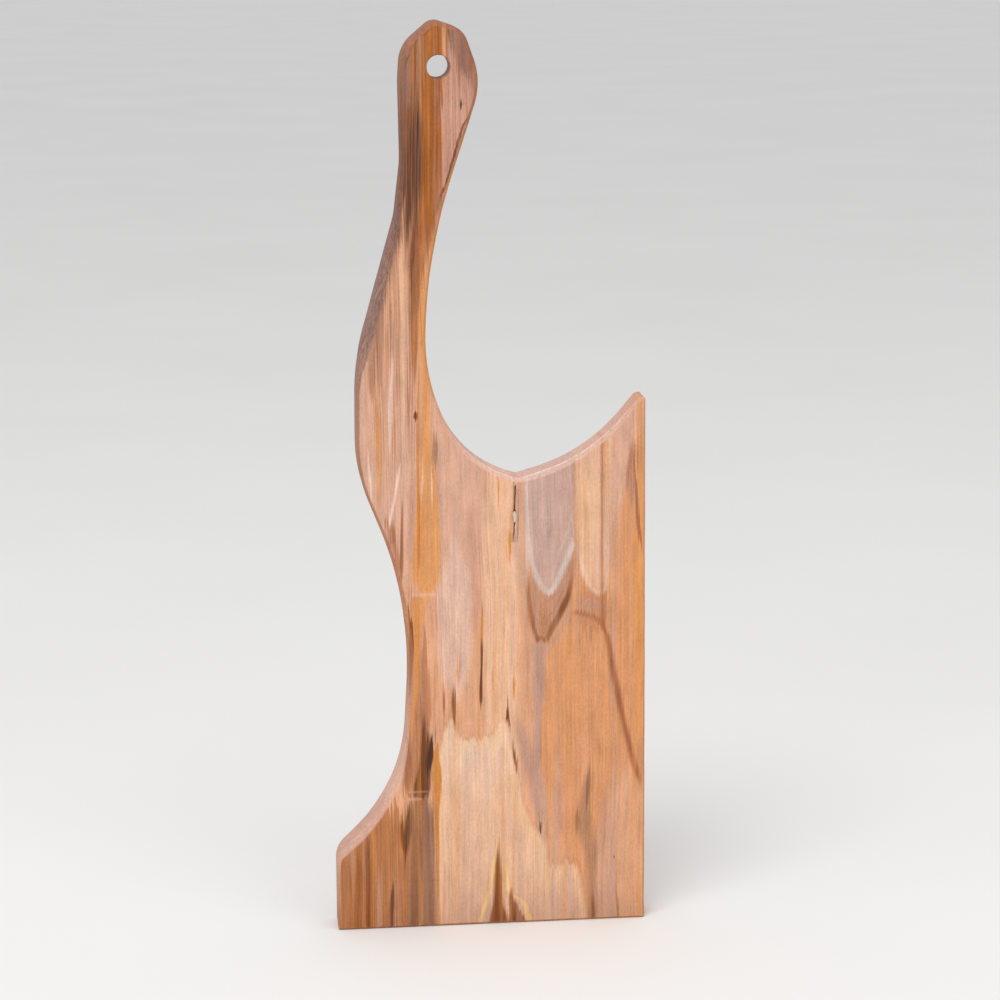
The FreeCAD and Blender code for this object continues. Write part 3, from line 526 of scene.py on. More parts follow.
@dataclass(frozen=True)
class Outline:
    """The board's outline, which gives closed lines at any inset, all sampled alike.

    The scale turns drawn sizes into the plank's. Spacing is the mesh's step along the line, in
    millimetres, and the turn weight is how many millimetres a turn of one radian counts for. Arcs
    and edges have their own numbers of steps, no arc is tighter than the least radius, and two arcs
    that would meet share their edge, up to the edge use.
    """

    corners: tuple[Corner, ...]
    scale: tuple[float, float]
    spacing: float = 1.3
    turn_weight: float = 7.0
    arc_steps: int = 24
    edge_steps: int = 60
    least_radius: float = 0.3
    edge_use: float = 0.95

    def values(self, name: str) -> np.ndarray:
        """One number of every corner, such as its radius, in order."""
        return np.array([getattr(corner, name) for corner in self.corners], float)

    def line(self, inset: np.ndarray) -> np.ndarray:
        """A closed line inside the outline, densely sampled.

        Each corner moves in along its mitre, the sum of the two edge normals over one plus their
        product, by that corner's inset. Its rounding is an arc from one tangent point to the next,
        with the inset taken off the radius of a convex corner and added to a concave one.

        Args:
            inset: how far in each corner lies, in millimetres.

        Returns:
            Points across and up, arcs and edges in turn.
        """
        place = np.stack([self.values("across") * self.scale[0], self.values("up") * self.scale[1]], -1)
        entering, leaving = self._directions(place)
        inward_in, inward_out = self._right(entering), self._right(leaving)
        share = 1.0 + (inward_in * inward_out).sum(-1, keepdims=True)
        place = place + inset[:, None] * (inward_in + inward_out) / share
        entering, leaving = self._directions(place)
        cross = entering[:, 0] * leaving[:, 1] - entering[:, 1] * leaving[:, 0]
        angle = np.arctan2(cross, (entering * leaving).sum(-1))
        radius = np.maximum(self.values("radius") + inset * np.sign(angle), self.least_radius)
        half_tangent = np.tan(np.abs(angle) / 2.0)
        reach = radius * half_tangent
        length = np.linalg.norm(np.roll(place, -1, 0) - place, axis=-1)
        room = length / (reach + np.roll(reach, -1))
        use = np.where(room >= 1.0, 1.0, room * self.edge_use)
        reach = reach * np.minimum(use, np.roll(use, 1))
        radius = reach / half_tangent
        start, end = place - entering * reach[:, None], place + leaving * reach[:, None]
        centre = start + self._right(entering) * (-np.sign(angle) * radius)[:, None]
        turn = angle[:, None] * np.linspace(0.0, 1.0, self.arc_steps)
        arm = (start - centre)[:, None, :]
        arc = centre[:, None, :] + np.stack([
            arm[..., 0] * np.cos(turn) - arm[..., 1] * np.sin(turn),
            arm[..., 0] * np.sin(turn) + arm[..., 1] * np.cos(turn),
        ], -1)
        along = (np.arange(1, self.edge_steps + 1) / (self.edge_steps + 1.0))[None, :, None]
        edge = end[:, None, :] * (1.0 - along) + np.roll(start, -1, 0)[:, None, :] * along
        return np.concatenate([arc, edge], 1).reshape(-1, 2)

    def spread(self, corner_values: np.ndarray) -> np.ndarray:
        """Carries a value of each corner along the dense line: held on arcs, eased along edges.

        Args:
            corner_values: one value, or a row of them, for each corner.

        Returns:
            A row for each point of the dense line.
        """
        values = np.asarray(corner_values, float).reshape(len(self.corners), -1)
        along = np.arange(1, self.edge_steps + 1) / (self.edge_steps + 1.0)
        ease = (along * along * (3.0 - 2.0 * along))[None, :, None]
        held = np.repeat(values[:, None, :], self.arc_steps, 1)
        eased = values[:, None, :] * (1.0 - ease) + np.roll(values, -1, 0)[:, None, :] * ease
        return np.concatenate([held, eased], 1).reshape(len(self.corners) * self.steps(), -1)

    def steps(self) -> int:
        """Points of the dense line from one corner to the next."""
        return self.arc_steps + self.edge_steps

    def numbers(self, places: np.ndarray) -> np.ndarray:
        """Corner number and share of the way to the next corner, for positions along the dense line."""
        return places / self.steps()

    def places(self) -> np.ndarray:
        """Positions along the dense line for the mesh: even in length, and closer where it turns.

        Returns:
            Positions along the dense line, from its first point on.
        """
        line = self.line(np.zeros(len(self.corners)))
        step = np.roll(line, -1, 0) - line
        heading = np.arctan2(step[:, 1], step[:, 0])
        turning = np.abs((np.roll(heading, -1) - heading + math.pi) % (2.0 * math.pi) - math.pi)
        weight = np.linalg.norm(step, axis=-1) + self.turn_weight * turning
        measure = np.concatenate([[0.0], np.cumsum(weight)])
        count = int(measure[-1] / self.spacing)
        return np.interp(np.arange(count) * measure[-1] / count, measure, np.arange(len(line) + 1))

    @staticmethod
    def sample(dense: np.ndarray, places: np.ndarray) -> np.ndarray:
        """Reads a dense closed line at the given positions.

        Args:
            dense: a row for each point of a dense closed line.
            places: positions along it.

        Returns:
            A row for each position.
        """
        closed = np.concatenate([dense, dense[:1]])
        index = np.arange(len(closed))
        return np.stack([np.interp(places, index, closed[:, i]) for i in range(closed.shape[1])], -1)

    @staticmethod
    def _directions(place: np.ndarray) -> tuple[np.ndarray, np.ndarray]:
        """Unit vectors into and out of every corner.

        Args:
            place: the corners.

        Returns:
            The directions in and out, by corner.
        """
        entering = place - np.roll(place, 1, 0)
        entering = entering / np.linalg.norm(entering, axis=-1, keepdims=True)
        return entering, np.roll(entering, -1, 0)

    @staticmethod
    def _right(direction: np.ndarray) -> np.ndarray:
        """The direction turned a quarter to the right, which points into the board."""
        return np.stack([direction[:, 1], -direction[:, 0]], -1)


@dataclass(frozen=True)
class Waver:
    """Unevenness of handwork along a closed line: a seed, and the fewest and the most waves that fit."""

    seed: int
    fewest: int
    most: int

    def along(self, length: np.ndarray, total: float) -> np.ndarray:
        """A smooth closed wave from 0 to 1: a sum of sines that fit a whole number of times.

        Args:
            length: positions along the closed line.
            total: the line's whole length.

        Returns:
            One number for each position.
        """
        chance = np.random.default_rng(self.seed)
        counts = np.arange(self.fewest, self.most)
        phases = chance.uniform(0.0, 2.0 * math.pi, len(counts))
        sizes = chance.uniform(0.4, 1.0, len(counts)) / np.sqrt(counts)
        wave = (np.sin(2.0 * math.pi * length[:, None] / total * counts + phases) * sizes).sum(-1)
        return (wave - wave.min()) / (wave.max() - wave.min())

    def loss(self, length: np.ndarray, total: float, most: float) -> np.ndarray:
        """The share that is left where up to the given share is lost, as a column."""
        return (1.0 - most + most * self.along(length, total))[:, None]


CHAMFER_WAVER = Waver(3, 9, 120)
DROP_WAVER = Waver(5, 7, 90)
BACK_WAVER = Waver(7, 7, 80)
HOLLOW_WAVER = Waver(9, 6, 60)
FILE_MARKS = tuple(Waver(seed, 10, 140) for seed in range(20, 26))


def bend(first: Pair, control: Pair, last: Pair, steps: int) -> np.ndarray:
    """A soft corner: the quadratic curve from first to last that is pulled towards control."""
    t = np.linspace(0.0, 1.0, steps)[:, None]
    return (1 - t) ** 2 * np.array(first) + 2 * t * (1 - t) * np.array(control) + t * t * np.array(last)


def inside(points: np.ndarray, loop: np.ndarray) -> np.ndarray:
    """Tells which points lie inside a closed line, by counting its crossings to the right.

    Args:
        points: the points.
        loop: the closed line.

    Returns:
        True or False for each point.
    """
    a, b = loop[None, :, :], np.roll(loop, -1, 0)[None, :, :]
    p = points[:, None, :]
    spans = (a[..., 1] > p[..., 1]) != (b[..., 1] > p[..., 1])
    rise = np.where(b[..., 1] == a[..., 1], 1e-12, b[..., 1] - a[..., 1])
    at = a[..., 0] + (p[..., 1] - a[..., 1]) / rise * (b[..., 0] - a[..., 0])
    return (spans & (p[..., 0] < at)).sum(-1) % 2 == 1


def nearest(points: np.ndarray, loop: np.ndarray) -> np.ndarray:
    """Distance from each point to the nearest point of a line."""
    return np.sqrt(((points[:, None, :] - loop[None, :, :]) ** 2).sum(-1).min(-1))


def sheet_between(rim: np.ndarray, holes: list[np.ndarray], spacing: float) -> tuple[np.ndarray, np.ndarray]:
    """Fills a flat face with triangles: a grid of points, cut by its rim and by its holes.

    Args:
        rim: the closed outer line.
        holes: the closed lines of the openings.
        spacing: the grid's step.

    Returns:
        The points, with the rim's and the holes' first, and the triangles, counter-clockwise.
    """
    low, high = rim.min(0), rim.max(0)
    grid = np.stack(np.meshgrid(np.arange(low[0], high[0], spacing), np.arange(low[1], high[1], spacing)), -1)
    grid = grid.reshape(-1, 2)
    grid = grid + np.random.default_rng(11).uniform(-0.12, 0.12, grid.shape) * spacing
    keep = inside(grid, rim) & (nearest(grid, rim) > spacing * 0.6)
    for hole in holes:
        keep &= ~inside(grid, hole) & (nearest(grid, hole) > spacing * 0.5)
    loops = [rim, *holes]
    starts = np.cumsum([0] + [len(loop) for loop in loops])
    edges = np.concatenate([
        np.stack([np.arange(len(loop)), np.roll(np.arange(len(loop)), -1)], -1) + start
        for loop, start in zip(loops, starts)
    ])
    points = np.concatenate([*loops, grid[keep]])
    found = delaunay_2d_cdt(points.tolist(), edges.tolist(), [], 1, 1e-7)
    if len(found[0]) != len(points):
        raise ValueError("two lines of the face touch each other")
    triangles = np.array(found[2])
    middle = points[triangles].mean(1)
    wanted = inside(middle, rim)
    for hole in holes:
        wanted &= ~inside(middle, hole)
    triangles = triangles[wanted]
    a, b, c = points[triangles[:, 0]], points[triangles[:, 1]], points[triangles[:, 2]]
    area = (b[:, 0] - a[:, 0]) * (c[:, 1] - a[:, 1]) - (b[:, 1] - a[:, 1]) * (c[:, 0] - a[:, 0])
    triangles[area < 0] = triangles[area < 0][:, ::-1]
    return points, triangles


def tube_faces(rows: int, columns: int, start: int, outward: bool) -> np.ndarray:
    """Quads of a closed band of rows, each a ring of columns, from vertex start on.

    Args:
        rows: how many rings there are.
        columns: how many vertices a ring has.
        start: number of the first vertex.
        outward: True keeps the order along the ring, False turns the faces over.

    Returns:
        Four vertex numbers for each face.
    """
    row, column = np.meshgrid(np.arange(rows - 1), np.arange(columns), indexing="ij")
    a = start + row * columns + column
    b = start + row * columns + (column + 1) % columns
    faces = np.stack([a, b, b + columns, a + columns], -1).reshape(-1, 4)
    return faces if outward else faces[:, ::-1]


def mesh_object(name: str, points: np.ndarray, faces: list,
                attributes: dict[str, np.ndarray]) -> bpy.types.Object:
    """Puts arrays into a smooth-shaded mesh object at the origin.

    Args:
        name: the piece's name.
        points: vertices in millimetres.
        faces: vertex numbers of every face.
        attributes: a number or a colour for each vertex, by name.

    Returns:
        The new object.
    """
    mesh = bpy.data.meshes.new(name)
    mesh.from_pydata((points * MM).tolist(), [], faces)
    mesh.polygons.foreach_set("use_smooth", np.ones(len(faces), bool))
    for label, values in attributes.items():
        kind, field_name = ("FLOAT", "value") if values.ndim == 1 else ("FLOAT_COLOR", "color")
        layer = mesh.attributes.new(label, kind, "POINT")
        layer.data.foreach_set(field_name, values.astype(np.float32).ravel())
    mesh.update()
    mesh.validate()
    piece = bpy.data.objects.new(name, mesh)
    bpy.context.scene.collection.objects.link(piece)
    return piece


class Value:
    """A number that varies over a surface. Arithmetic on it adds Math nodes."""

    def __init__(self, graph: "Graph", socket: bpy.types.NodeSocket) -> None:
        """Keeps the socket that gives the number."""
        self.graph = graph
        self.socket = socket

    def _math(self, operation: str, *terms: "Value | float") -> "Value":
        """Adds one Math node."""
        return self.graph.value("ShaderNodeMath", {"operation": operation}, dict(enumerate(terms)))

    def __add__(self, other: "Value | float") -> "Value":
        """Sum."""
        return self._math("ADD", self, other)

    def __radd__(self, other: float) -> "Value":
        """Sum with a number first."""
        return self._math("ADD", other, self)

    def __sub__(self, other: "Value | float") -> "Value":
        """Difference."""
        return self._math("SUBTRACT", self, other)

    def __rsub__(self, other: float) -> "Value":
        """Difference from a number."""
        return self._math("SUBTRACT", other, self)

    def __mul__(self, other: "Value | float") -> "Value":
        """Product."""
        return self._math("MULTIPLY", self, other)

    def __rmul__(self, other: float) -> "Value":
        """Product with a number first."""
        return self._math("MULTIPLY", other, self)

    def __truediv__(self, other: "Value | float") -> "Value":
        """Quotient."""
        return self._math("DIVIDE", self, other)

    def __pow__(self, power: float) -> "Value":
        """Power."""
        return self._math("POWER", self, power)

    def __abs__(self) -> "Value":
        """Size without its sign."""
        return self._math("ABSOLUTE", self)

    def rise(self, low: float, high: float) -> "Value":
        """Goes smoothly from 0 at low to 1 at high.

        Args:
            low: where it leaves 0.
            high: where it reaches 1.

        Returns:
            The share of the way.
        """
        return self.graph.value(
            "ShaderNodeMapRange", {"interpolation_type": "SMOOTHSTEP"},
            {0: self, 1: low, 2: high, 3: 0.0, 4: 1.0},
        )

    def fall(self, low: float, high: float) -> "Value":
        """Goes smoothly from 1 at low to 0 at high."""
        return 1.0 - self.rise(low, high)

    def span(self, left: tuple[float, float], right: tuple[float, float]) -> "Value":
        """Rises over the left stretch and falls over the right one."""
        return self.rise(*left) * self.fall(*right)

    def around(self, middle: float, half: float, softness: float) -> "Value":
        """Covers a band of half a width round a middle value, with a soft fade inside it."""
        return (half - abs(self - middle)).rise(0.0, softness)


class Graph:
    """The node tree of one material, written as expressions."""

    def __init__(self, name: str) -> None:
        """Makes an empty material.

        Args:
            name: the material's name.
        """
        self.material = bpy.data.materials.new(name)
        self.material.use_nodes = True
        self.tree = self.material.node_tree
        self.tree.nodes.clear()

    def node(self, kind: str, settings: dict, sockets: dict) -> bpy.types.Node:
        """Adds a node.

        Args:
            kind: the node's type.
            settings: its properties, with stops for a ramp and points for a curve.
            sockets: values or links of its inputs, by name or number.

        Returns:
            The node.
        """
        made = self.tree.nodes.new(kind)
        for key, setting in settings.items():
            if key == "points":
                self._set_curve(made.mapping, setting)
            elif key == "stops":
                self._set_ramp(made.color_ramp, setting)
            else:
                setattr(made, key, setting)
        for key, given in sockets.items():
            socket = made.inputs[key]
            if isinstance(given, Value):
                self.tree.links.new(given.socket, socket)
            elif isinstance(given, bpy.types.NodeSocket):
                self.tree.links.new(given, socket)
            elif isinstance(given, tuple) and len(given) == 3 and socket.type == "RGBA":
                socket.default_value = (*given, 1.0)
            else:
                socket.default_value = given
        return made

    @staticmethod
    def _set_curve(mapping: bpy.types.CurveMapping, points: Points) -> None:
        """Gives a curve its points, with a short level run before the first and after the last.

        Args:
            mapping: the curve.
            points: its points, from left to right.
        """
        run = 0.012
        points = [(points[0][0] - run, points[0][1]), *points, (points[-1][0] + run, points[-1][1])]
        mapping.extend = "HORIZONTAL"
        curve = mapping.curves[0]
        curve.points[0].location, curve.points[1].location = points[0], points[-1]
        for point in points[1:-1]:
            curve.points.new(*point)
        for point in curve.points:
            point.handle_type = "AUTO_CLAMPED"
        mapping.update()

    @staticmethod
    def _set_ramp(ramp: bpy.types.ColorRamp, stops: Sequence[tuple[float, Colour]]) -> None:
        """Gives a ramp its stops.

        Args:
            ramp: the ramp.
            stops: share and colour of every stop, from left to right.
        """
        ramp.elements[0].position, ramp.elements[0].color = stops[0][0], (*stops[0][1], 1.0)
        ramp.elements[1].position, ramp.elements[1].color = stops[-1][0], (*stops[-1][1], 1.0)
        for position, colour in stops[1:-1]:
            ramp.elements.new(position).color = (*colour, 1.0)

    def value(self, kind: str, settings: dict, sockets: dict, output: int | str = 0) -> Value:
        """Adds a node and wraps one of its outputs."""
        return Value(self, self.node(kind, settings, sockets).outputs[output])

    def millimetres(self) -> tuple[Value, Value, Value]:
        """Object coordinates in millimetres: across, into and up the board.

        Returns:
            The three places.
        """
        place = self.node("ShaderNodeTexCoord", {}, {}).outputs["Object"]
        scaled = self.node("ShaderNodeVectorMath", {"operation": "SCALE"}, {0: place, "Scale": 1.0 / MM})
        parts = self.node("ShaderNodeSeparateXYZ", {}, {0: scaled.outputs[0]})
        return tuple(Value(self, parts.outputs[i]) for i in range(3))

    def noise(self, x: Value, y: Value, z: Value, pattern: Pattern) -> Value:
        """A pattern's smooth chance at a place, from 0 to 1.

        Args:
            x: place across.
            y: place into the board.
            z: place up.
            pattern: the pattern.

        Returns:
            The chance.
        """
        place = self.value(
            "ShaderNodeCombineXYZ", {}, {0: x * pattern.across, 1: y * pattern.into, 2: z * pattern.up}
        )
        return self.value(
            "ShaderNodeTexNoise", {"noise_dimensions": "3D"},
            {"Vector": place, "Scale": 1.0, "Detail": pattern.detail, "Roughness": pattern.roughness},
        )

    def blend(self, colour: bpy.types.NodeSocket, other: Tint | bpy.types.NodeSocket,
              amount: Value) -> bpy.types.NodeSocket:
        """Mixes another colour in by an amount from 0 to 1.

        Args:
            colour: the colour below.
            other: a tint, or a colour that varies.
            amount: how much of it to mix in.

        Returns:
            The mixed colour.
        """
        shown = other.linear() if isinstance(other, Tint) else other
        made = self.node("ShaderNodeMix", {"data_type": "RGBA"}, {0: amount, 6: colour, 7: shown})
        return made.outputs[2]

    def ramp(self, place: Value, stops: Sequence[tuple[float, Colour]]) -> bpy.types.NodeSocket:
        """The colour at a place between stops."""
        return self.node("ShaderNodeValToRGB", {"stops": stops}, {0: place}).outputs[0]

    def relief(self, height: Value, depth: float) -> bpy.types.NodeSocket:
        """A normal for a height from 0 to 1 that stands for a depth in metres."""
        sockets = {"Strength": 1.0, "Distance": depth, "Height": height}
        return self.node("ShaderNodeBump", {}, sockets).outputs[0]

    def shade(self, colour: bpy.types.NodeSocket, factor: Value) -> bpy.types.NodeSocket:
        """Multiplies a colour by a factor near 1.

        Args:
            colour: the colour.
            factor: the factor.

        Returns:
            The shaded colour.
        """
        grey = self.value("ShaderNodeCombineXYZ", {}, {0: factor, 1: factor, 2: factor})
        made = self.node("ShaderNodeVectorMath", {"operation": "MULTIPLY"}, {0: colour, 1: grey})
        return made.outputs[0]

    def finish(self, sockets: dict) -> bpy.types.Material:
        """Ends the tree with one Principled shader.

        Args:
            sockets: its inputs.

        Returns:
            The material.
        """
        shader = self.node("ShaderNodeBsdfPrincipled", {}, sockets)
        self.node("ShaderNodeOutputMaterial", {}, {"Surface": shader.outputs[0]})
        return self.material


@dataclass(frozen=True)
class OiledWood:
    """Warm, knotty fruitwood with a rubbed oil finish.

    Grain runs up the board. Tints follow growth lines, streaks and bands placed over the face, and
    run through the whole thickness. Worked edges take the tint that the mesh carries round them.

    Height and half width, in millimetres, are the reach of the curves that place the tints. Sway and
    the two wavers are how far the grain, a fine streak and a broad band wander sideways, and slope
    step is how far apart a growth line's slope is read. The bump depth is in metres.
    """

    name: str = "oiled_wood_looks"
    height: float = 500.0
    half_width: float = 100.0
    sway: float = 7.0
    fine_waver: float = 2.6
    broad_waver: float = 12.0
    slope_step: float = 0.5
    roughness: float = 0.52
    gloss: float = 0.2
    bump_depth: float = 0.00012

    def build(self) -> bpy.types.Material:
        """Builds the material.

        Returns:
            The material.
        """
        graph = Graph(self.name)
        x, y, z = graph.millimetres()
        grain_x = x + (graph.noise(x, y, z, SWAY) - 0.5) * self.sway
        fibre = graph.noise(grain_x, y, z, FIBRE)
        lines = graph.noise(grain_x, y, z, GROWTH_LINES)
        strands = graph.noise(grain_x, y, z, STRANDS).rise(0.46, 0.6)
        fine_x = x + (fibre - 0.5) * self.fine_waver
        broad_x = x + (lines - 0.5) * self.broad_waver
        colour = self._ground(graph, z)
        colour = self._bands(graph, colour, broad_x, z, fibre, strands, BROAD_BANDS)
        colour = self._tongue(graph, colour, fine_x, z, fibre, lines)
        colour = self._bows(graph, colour, x, z, fibre)
        colour = self._bands(graph, colour, fine_x, z, fibre, strands, FIGURE)
        colour = self._cross_marks(graph, colour, fine_x, z, fibre)
        colour = self._grain(graph, colour, grain_x, y, z, fibre, lines)
        colour, worked = self._edges(graph, colour, grain_x, x, y, z)
        return self._surface(graph, colour, worked, x, grain_x, y, z, fibre)

    def _ground(self, graph: Graph, z: Value) -> bpy.types.NodeSocket:
        """Peach below, and a darker tan above: partly painted shade, for light that falls off towards the
        head, and partly wood darkened by handling.

        Args:
            graph: the material.
            z: place up the board.

        Returns:
            The ground colour.
        """
        # The darker stops towards the top are partly painted shade, partly wood darkened by handling.
        stops = ((0.0, Tint.PEACH), (0.34, Tint.PEACH), (0.42, Tint.PALE_PEACH), (0.56, Tint.PALE_PEACH),
                 (0.68, Tint.NECK_PEACH), (0.78, Tint.HANDLE_TAN), (1.0, Tint.HANDLE_TAN))
        return graph.ramp(z / self.height, [(share, tint.linear()) for share, tint in stops])

    def _up_curve(self, graph: Graph, z01: Value, points: Points, reach: float, shift: float) -> Value:
        """Reads (up, value) points at a height: the curve holds (value + shift) / reach."""
        table = [(up / self.height, (value + shift) / reach) for up, value in points]
        return graph.value("ShaderNodeFloatCurve", {"points": table}, {"Value": z01})

    def _bands(self, graph: Graph, colour: bpy.types.NodeSocket, x: Value, z: Value, fibre: Value,
               strands: Value, bands: tuple[Streak, ...]) -> bpy.types.NodeSocket:
        """Lays streaks over a colour.

        A streak covers a place by how much its half width at that height exceeds the distance from
        its middle line, over its softness.

        Args:
            graph: the material.
            colour: the colour so far.
            x: place across the board.
            z: place up the board.
            fibre: chance of single fibres.
            strands: where strands run, from 0 to 1.
            bands: the streaks, from the lowest layer up.

        Returns:
            The colour with it laid over.
        """
        full = 2.0 * self.half_width
        x01 = (x + self.half_width) / full
        lifts = {band.ragged for band in bands}
        heights = {lift: (z + (fibre - 0.5) * (2.0 * lift)) / self.height for lift in lifts}
        plain = z / self.height
        break_up = fibre.rise(0.12, 0.5) * 0.35 + 0.65
        for band in bands:
            middle = self._up_curve(graph, plain, band.line, full, self.half_width)
            half = self._up_curve(graph, heights[band.ragged], band.widths, full, 0.0)
            cover = (half * WIDER - abs(x01 - middle)).rise(0.0, band.fade() / full)
            if band.stringy:
                cover = cover * (strands * band.stringy + (1.0 - band.stringy))
            colour = graph.blend(colour, band.tint, cover * break_up * band.cover())
        return colour

    def _arch(self, graph: Graph, x: Value, z: Value, bow: Bow) -> Value:
        """Distance above a growth line: height over it, divided by the root of 1 plus its slope squared.

        Args:
            graph: the material.
            x: place across the board.
            z: place up the board.
            bow: the growth line.

        Returns:
            The distance in millimetres.
        """
        first, full = bow.arch[0][0], bow.arch[-1][0] - bow.arch[0][0]
        table = [((across - first) / full, up / self.height) for across, up in bow.arch]
        x01 = (x - first) / full
        step = self.slope_step
        low, at, high = (
            graph.value("ShaderNodeFloatCurve", {"points": table}, {"Value": x01 + shift / full})
            for shift in (-step, 0.0, step)
        )
        slope = (high - low) * (self.height / (2.0 * step))
        return (z - at * self.height) / (slope * slope + 1.0) ** 0.5

    def _tongue(self, graph: Graph, colour: bpy.types.NodeSocket, x: Value, z: Value,
                fibre: Value, lines: Value) -> bpy.types.NodeSocket:
        """The pale sapwood tongue, which rises from the foot to two points.

        Args:
            graph: the material.
            colour: the colour so far.
            x: place across the board.
            z: place up the board.
            fibre: chance of single fibres.
            lines: chance of growth lines.

        Returns:
            The colour with it laid over.
        """
        over = self._arch(graph, x, z + (fibre - 0.5) * 5.0 + (lines - 0.5) * 20.0, TONGUE)
        inner = (0.6 - over).rise(0.0, 2.0)
        colour = graph.blend(colour, Tint.SAPWOOD, inner * 0.9)
        tips = z.rise(60.0, 108.0) * inner
        colour = graph.blend(colour, Tint.SAPWOOD_PALE, tips * 0.65)
        foot = z.fall(4.0, 40.0) * inner
        colour = graph.blend(colour, Tint.DUSTY_PINK, foot * 0.45)
        lit = over.around(-3.0, 3.0, 3.0) * inner
        colour = graph.blend(colour, Tint.HONEY, lit * fibre * 0.75)
        margin = over.around(1.2, 0.9, 1.6) * z.rise(12.0, 30.0)
        return graph.blend(colour, Tint.CLAY, margin * 0.45)

    def _bows(self, graph: Graph, colour: bpy.types.NodeSocket, x: Value, z: Value,
              fibre: Value) -> bpy.types.NodeSocket:
        """The arched growth lines below the sweep: a grey field, chalky lines and dark ones.

        Args:
            graph: the material.
            colour: the colour so far.
            x: place across the board.
            z: place up the board.
            fibre: chance of single fibres.

        Returns:
            The colour with it laid over.
        """
        rough_x = x + (fibre - 0.5) * 1.8
        rough_z = z + (fibre - 0.5) * 7.0
        limits = x.span((17.6, 19.6), (44.0, 46.2))
        low = self._arch(graph, rough_x, rough_z, LOWER_BOW)
        high = self._arch(graph, rough_x, rough_z, UPPER_BOW)
        open_left = 1.0 - z.rise(180.0, 204.0) * x.fall(24.0, 32.0)
        between = low.rise(-0.8, 3.0) * limits * open_left
        colour = graph.blend(colour, Tint.CLAY, between * 0.6)
        colour = graph.blend(colour, Tint.LILAC, between * fibre.rise(0.3, 0.65) * 0.75)
        dark = low.around(1.0, 2.8, 2.2) * limits * open_left * (1.0 - z.rise(178.0, 200.0) * 0.7)
        colour = graph.blend(colour, Tint.BROWN, dark * (fibre.rise(0.2, 0.6) * 0.45 + 0.5))
        deep = low.around(1.2, 2.4, 1.8) * x.rise(33.0, 37.0) * limits * z.fall(176.0, 192.0)
        colour = graph.blend(colour, Tint.DARK, deep * 0.6)
        grey = high.rise(-0.8, 2.0) * limits
        colour = graph.blend(colour, Tint.LILAC_GREY, grey * 0.92)
        warm = high.around(10.0, 2.6, 3.0) * limits * x.rise(26.0, 32.0)
        colour = graph.blend(colour, Tint.DUSTY_PINK, warm * 0.5)
        for lift, strength in ((5.0, 0.7), (9.0, 0.5), (13.5, 0.7), (18.5, 0.5)):
            ring = low.around(lift, 0.8, 1.5) * limits * open_left * (1.0 - grey)
            colour = graph.blend(colour, Tint.BROWN, ring * strength)
        halo = low.around(-3.0, 3.0, 3.5) * x.span((15.0, 19.0), (45.0, 49.0)) * open_left
        colour = graph.blend(colour, Tint.LILAC, halo * 0.7)
        chalk = high.around(0.8, 2.6, 2.2) * limits
        colour = graph.blend(colour, Tint.CHALK, chalk * 0.85)
        inner = high.around(6.4, 1.6, 2.0) * limits * x.rise(30.0, 38.0)
        colour = graph.blend(colour, Tint.CHALK, inner * 0.5)
        side = x.rise(44.2, 46.0)
        right = self._arch(graph, rough_x, rough_z, RIGHT_BOW)
        field = right.rise(-0.5, 4.0) * side * x.fall(62.0, 67.0)
        colour = graph.blend(colour, Tint.BUTTER, field * 0.6)
        rim = right.around(1.6, 2.6, 3.0) * side * x.fall(60.0, 66.0) * z.fall(196.0, 214.0)
        colour = graph.blend(colour, Tint.CREAM, rim * 0.4)
        outer = right.around(-5.0, 4.0, 4.0) * side * x.fall(66.0, 70.0)
        colour = graph.blend(colour, Tint.LILAC, outer * 0.5)
        rust = self._arch(graph, rough_x, rough_z, RUST_BOW).around(0.0, 2.6, 2.8)
        return graph.blend(colour, Tint.RUST, rust * x.span((42.0, 46.0), (60.5, 62.5)) * 0.75)

    @staticmethod
    def _cross_marks(graph: Graph, colour: bpy.types.NodeSocket, x: Value, z: Value,
                     fibre: Value) -> bpy.types.NodeSocket:
        """Short marks across the grain, from a plane's chatter.

        Args:
            graph: the material.
            colour: the colour so far.
            x: place across the board.
            z: place up the board.
            fibre: chance of single fibres.

        Returns:
            The colour with it laid over.
        """
        for mark in CROSS_MARKS:
            height = (mark.half - abs(z - mark.up)).rise(-0.5, 0.5)
            width = x.span((mark.left, mark.left + 2.0), (mark.right - 2.0, mark.right))
            colour = graph.blend(colour, mark.tint, height * width * (fibre * 1.2) * mark.strength)
        return colour

    @staticmethod
    def _grain(graph: Graph, colour: bpy.types.NodeSocket, grain_x: Value, y: Value, z: Value,
               fibre: Value, lines: Value) -> bpy.types.NodeSocket:
        """Fine grain: broad warm and cool bands, fibres, short pores and a mottled surface.

        Args:
            graph: the material.
            colour: the colour so far.
            grain_x: place across, as the grain sways.
            y: place into the board.
            z: place up the board.
            fibre: chance of single fibres.
            lines: chance of growth lines.

        Returns:
            The colour with it laid over.
        """
        warm = graph.noise(grain_x, y, z, WARM_AND_COOL)
        colour = graph.blend(colour, Tint.ORANGE, warm.rise(0.54, 0.72) * 0.42)
        colour = graph.blend(colour, Tint.LILAC_GREY, warm.fall(0.3, 0.45) * 0.25)
        pores = graph.noise(grain_x, y, z, PORES).rise(0.6, 0.78)
        mottle = graph.noise(grain_x, y, z, MOTTLE)
        cloud = graph.noise(grain_x, y, z, CLOUD)
        patch = graph.noise(grain_x, y, z, CALM_PATCHES).rise(0.3, 0.65) * 0.8 + 0.5
        line_strength = patch * 0.6 + z.rise(240.0, 400.0) * 0.7
        tone = 1.0 + (lines - 0.5) * line_strength + (fibre - 0.5) * 0.3
        tone = tone + (mottle - 0.5) * 0.5 + (cloud - 0.5) * 0.6 - pores * 0.2
        return graph.shade(colour, tone)

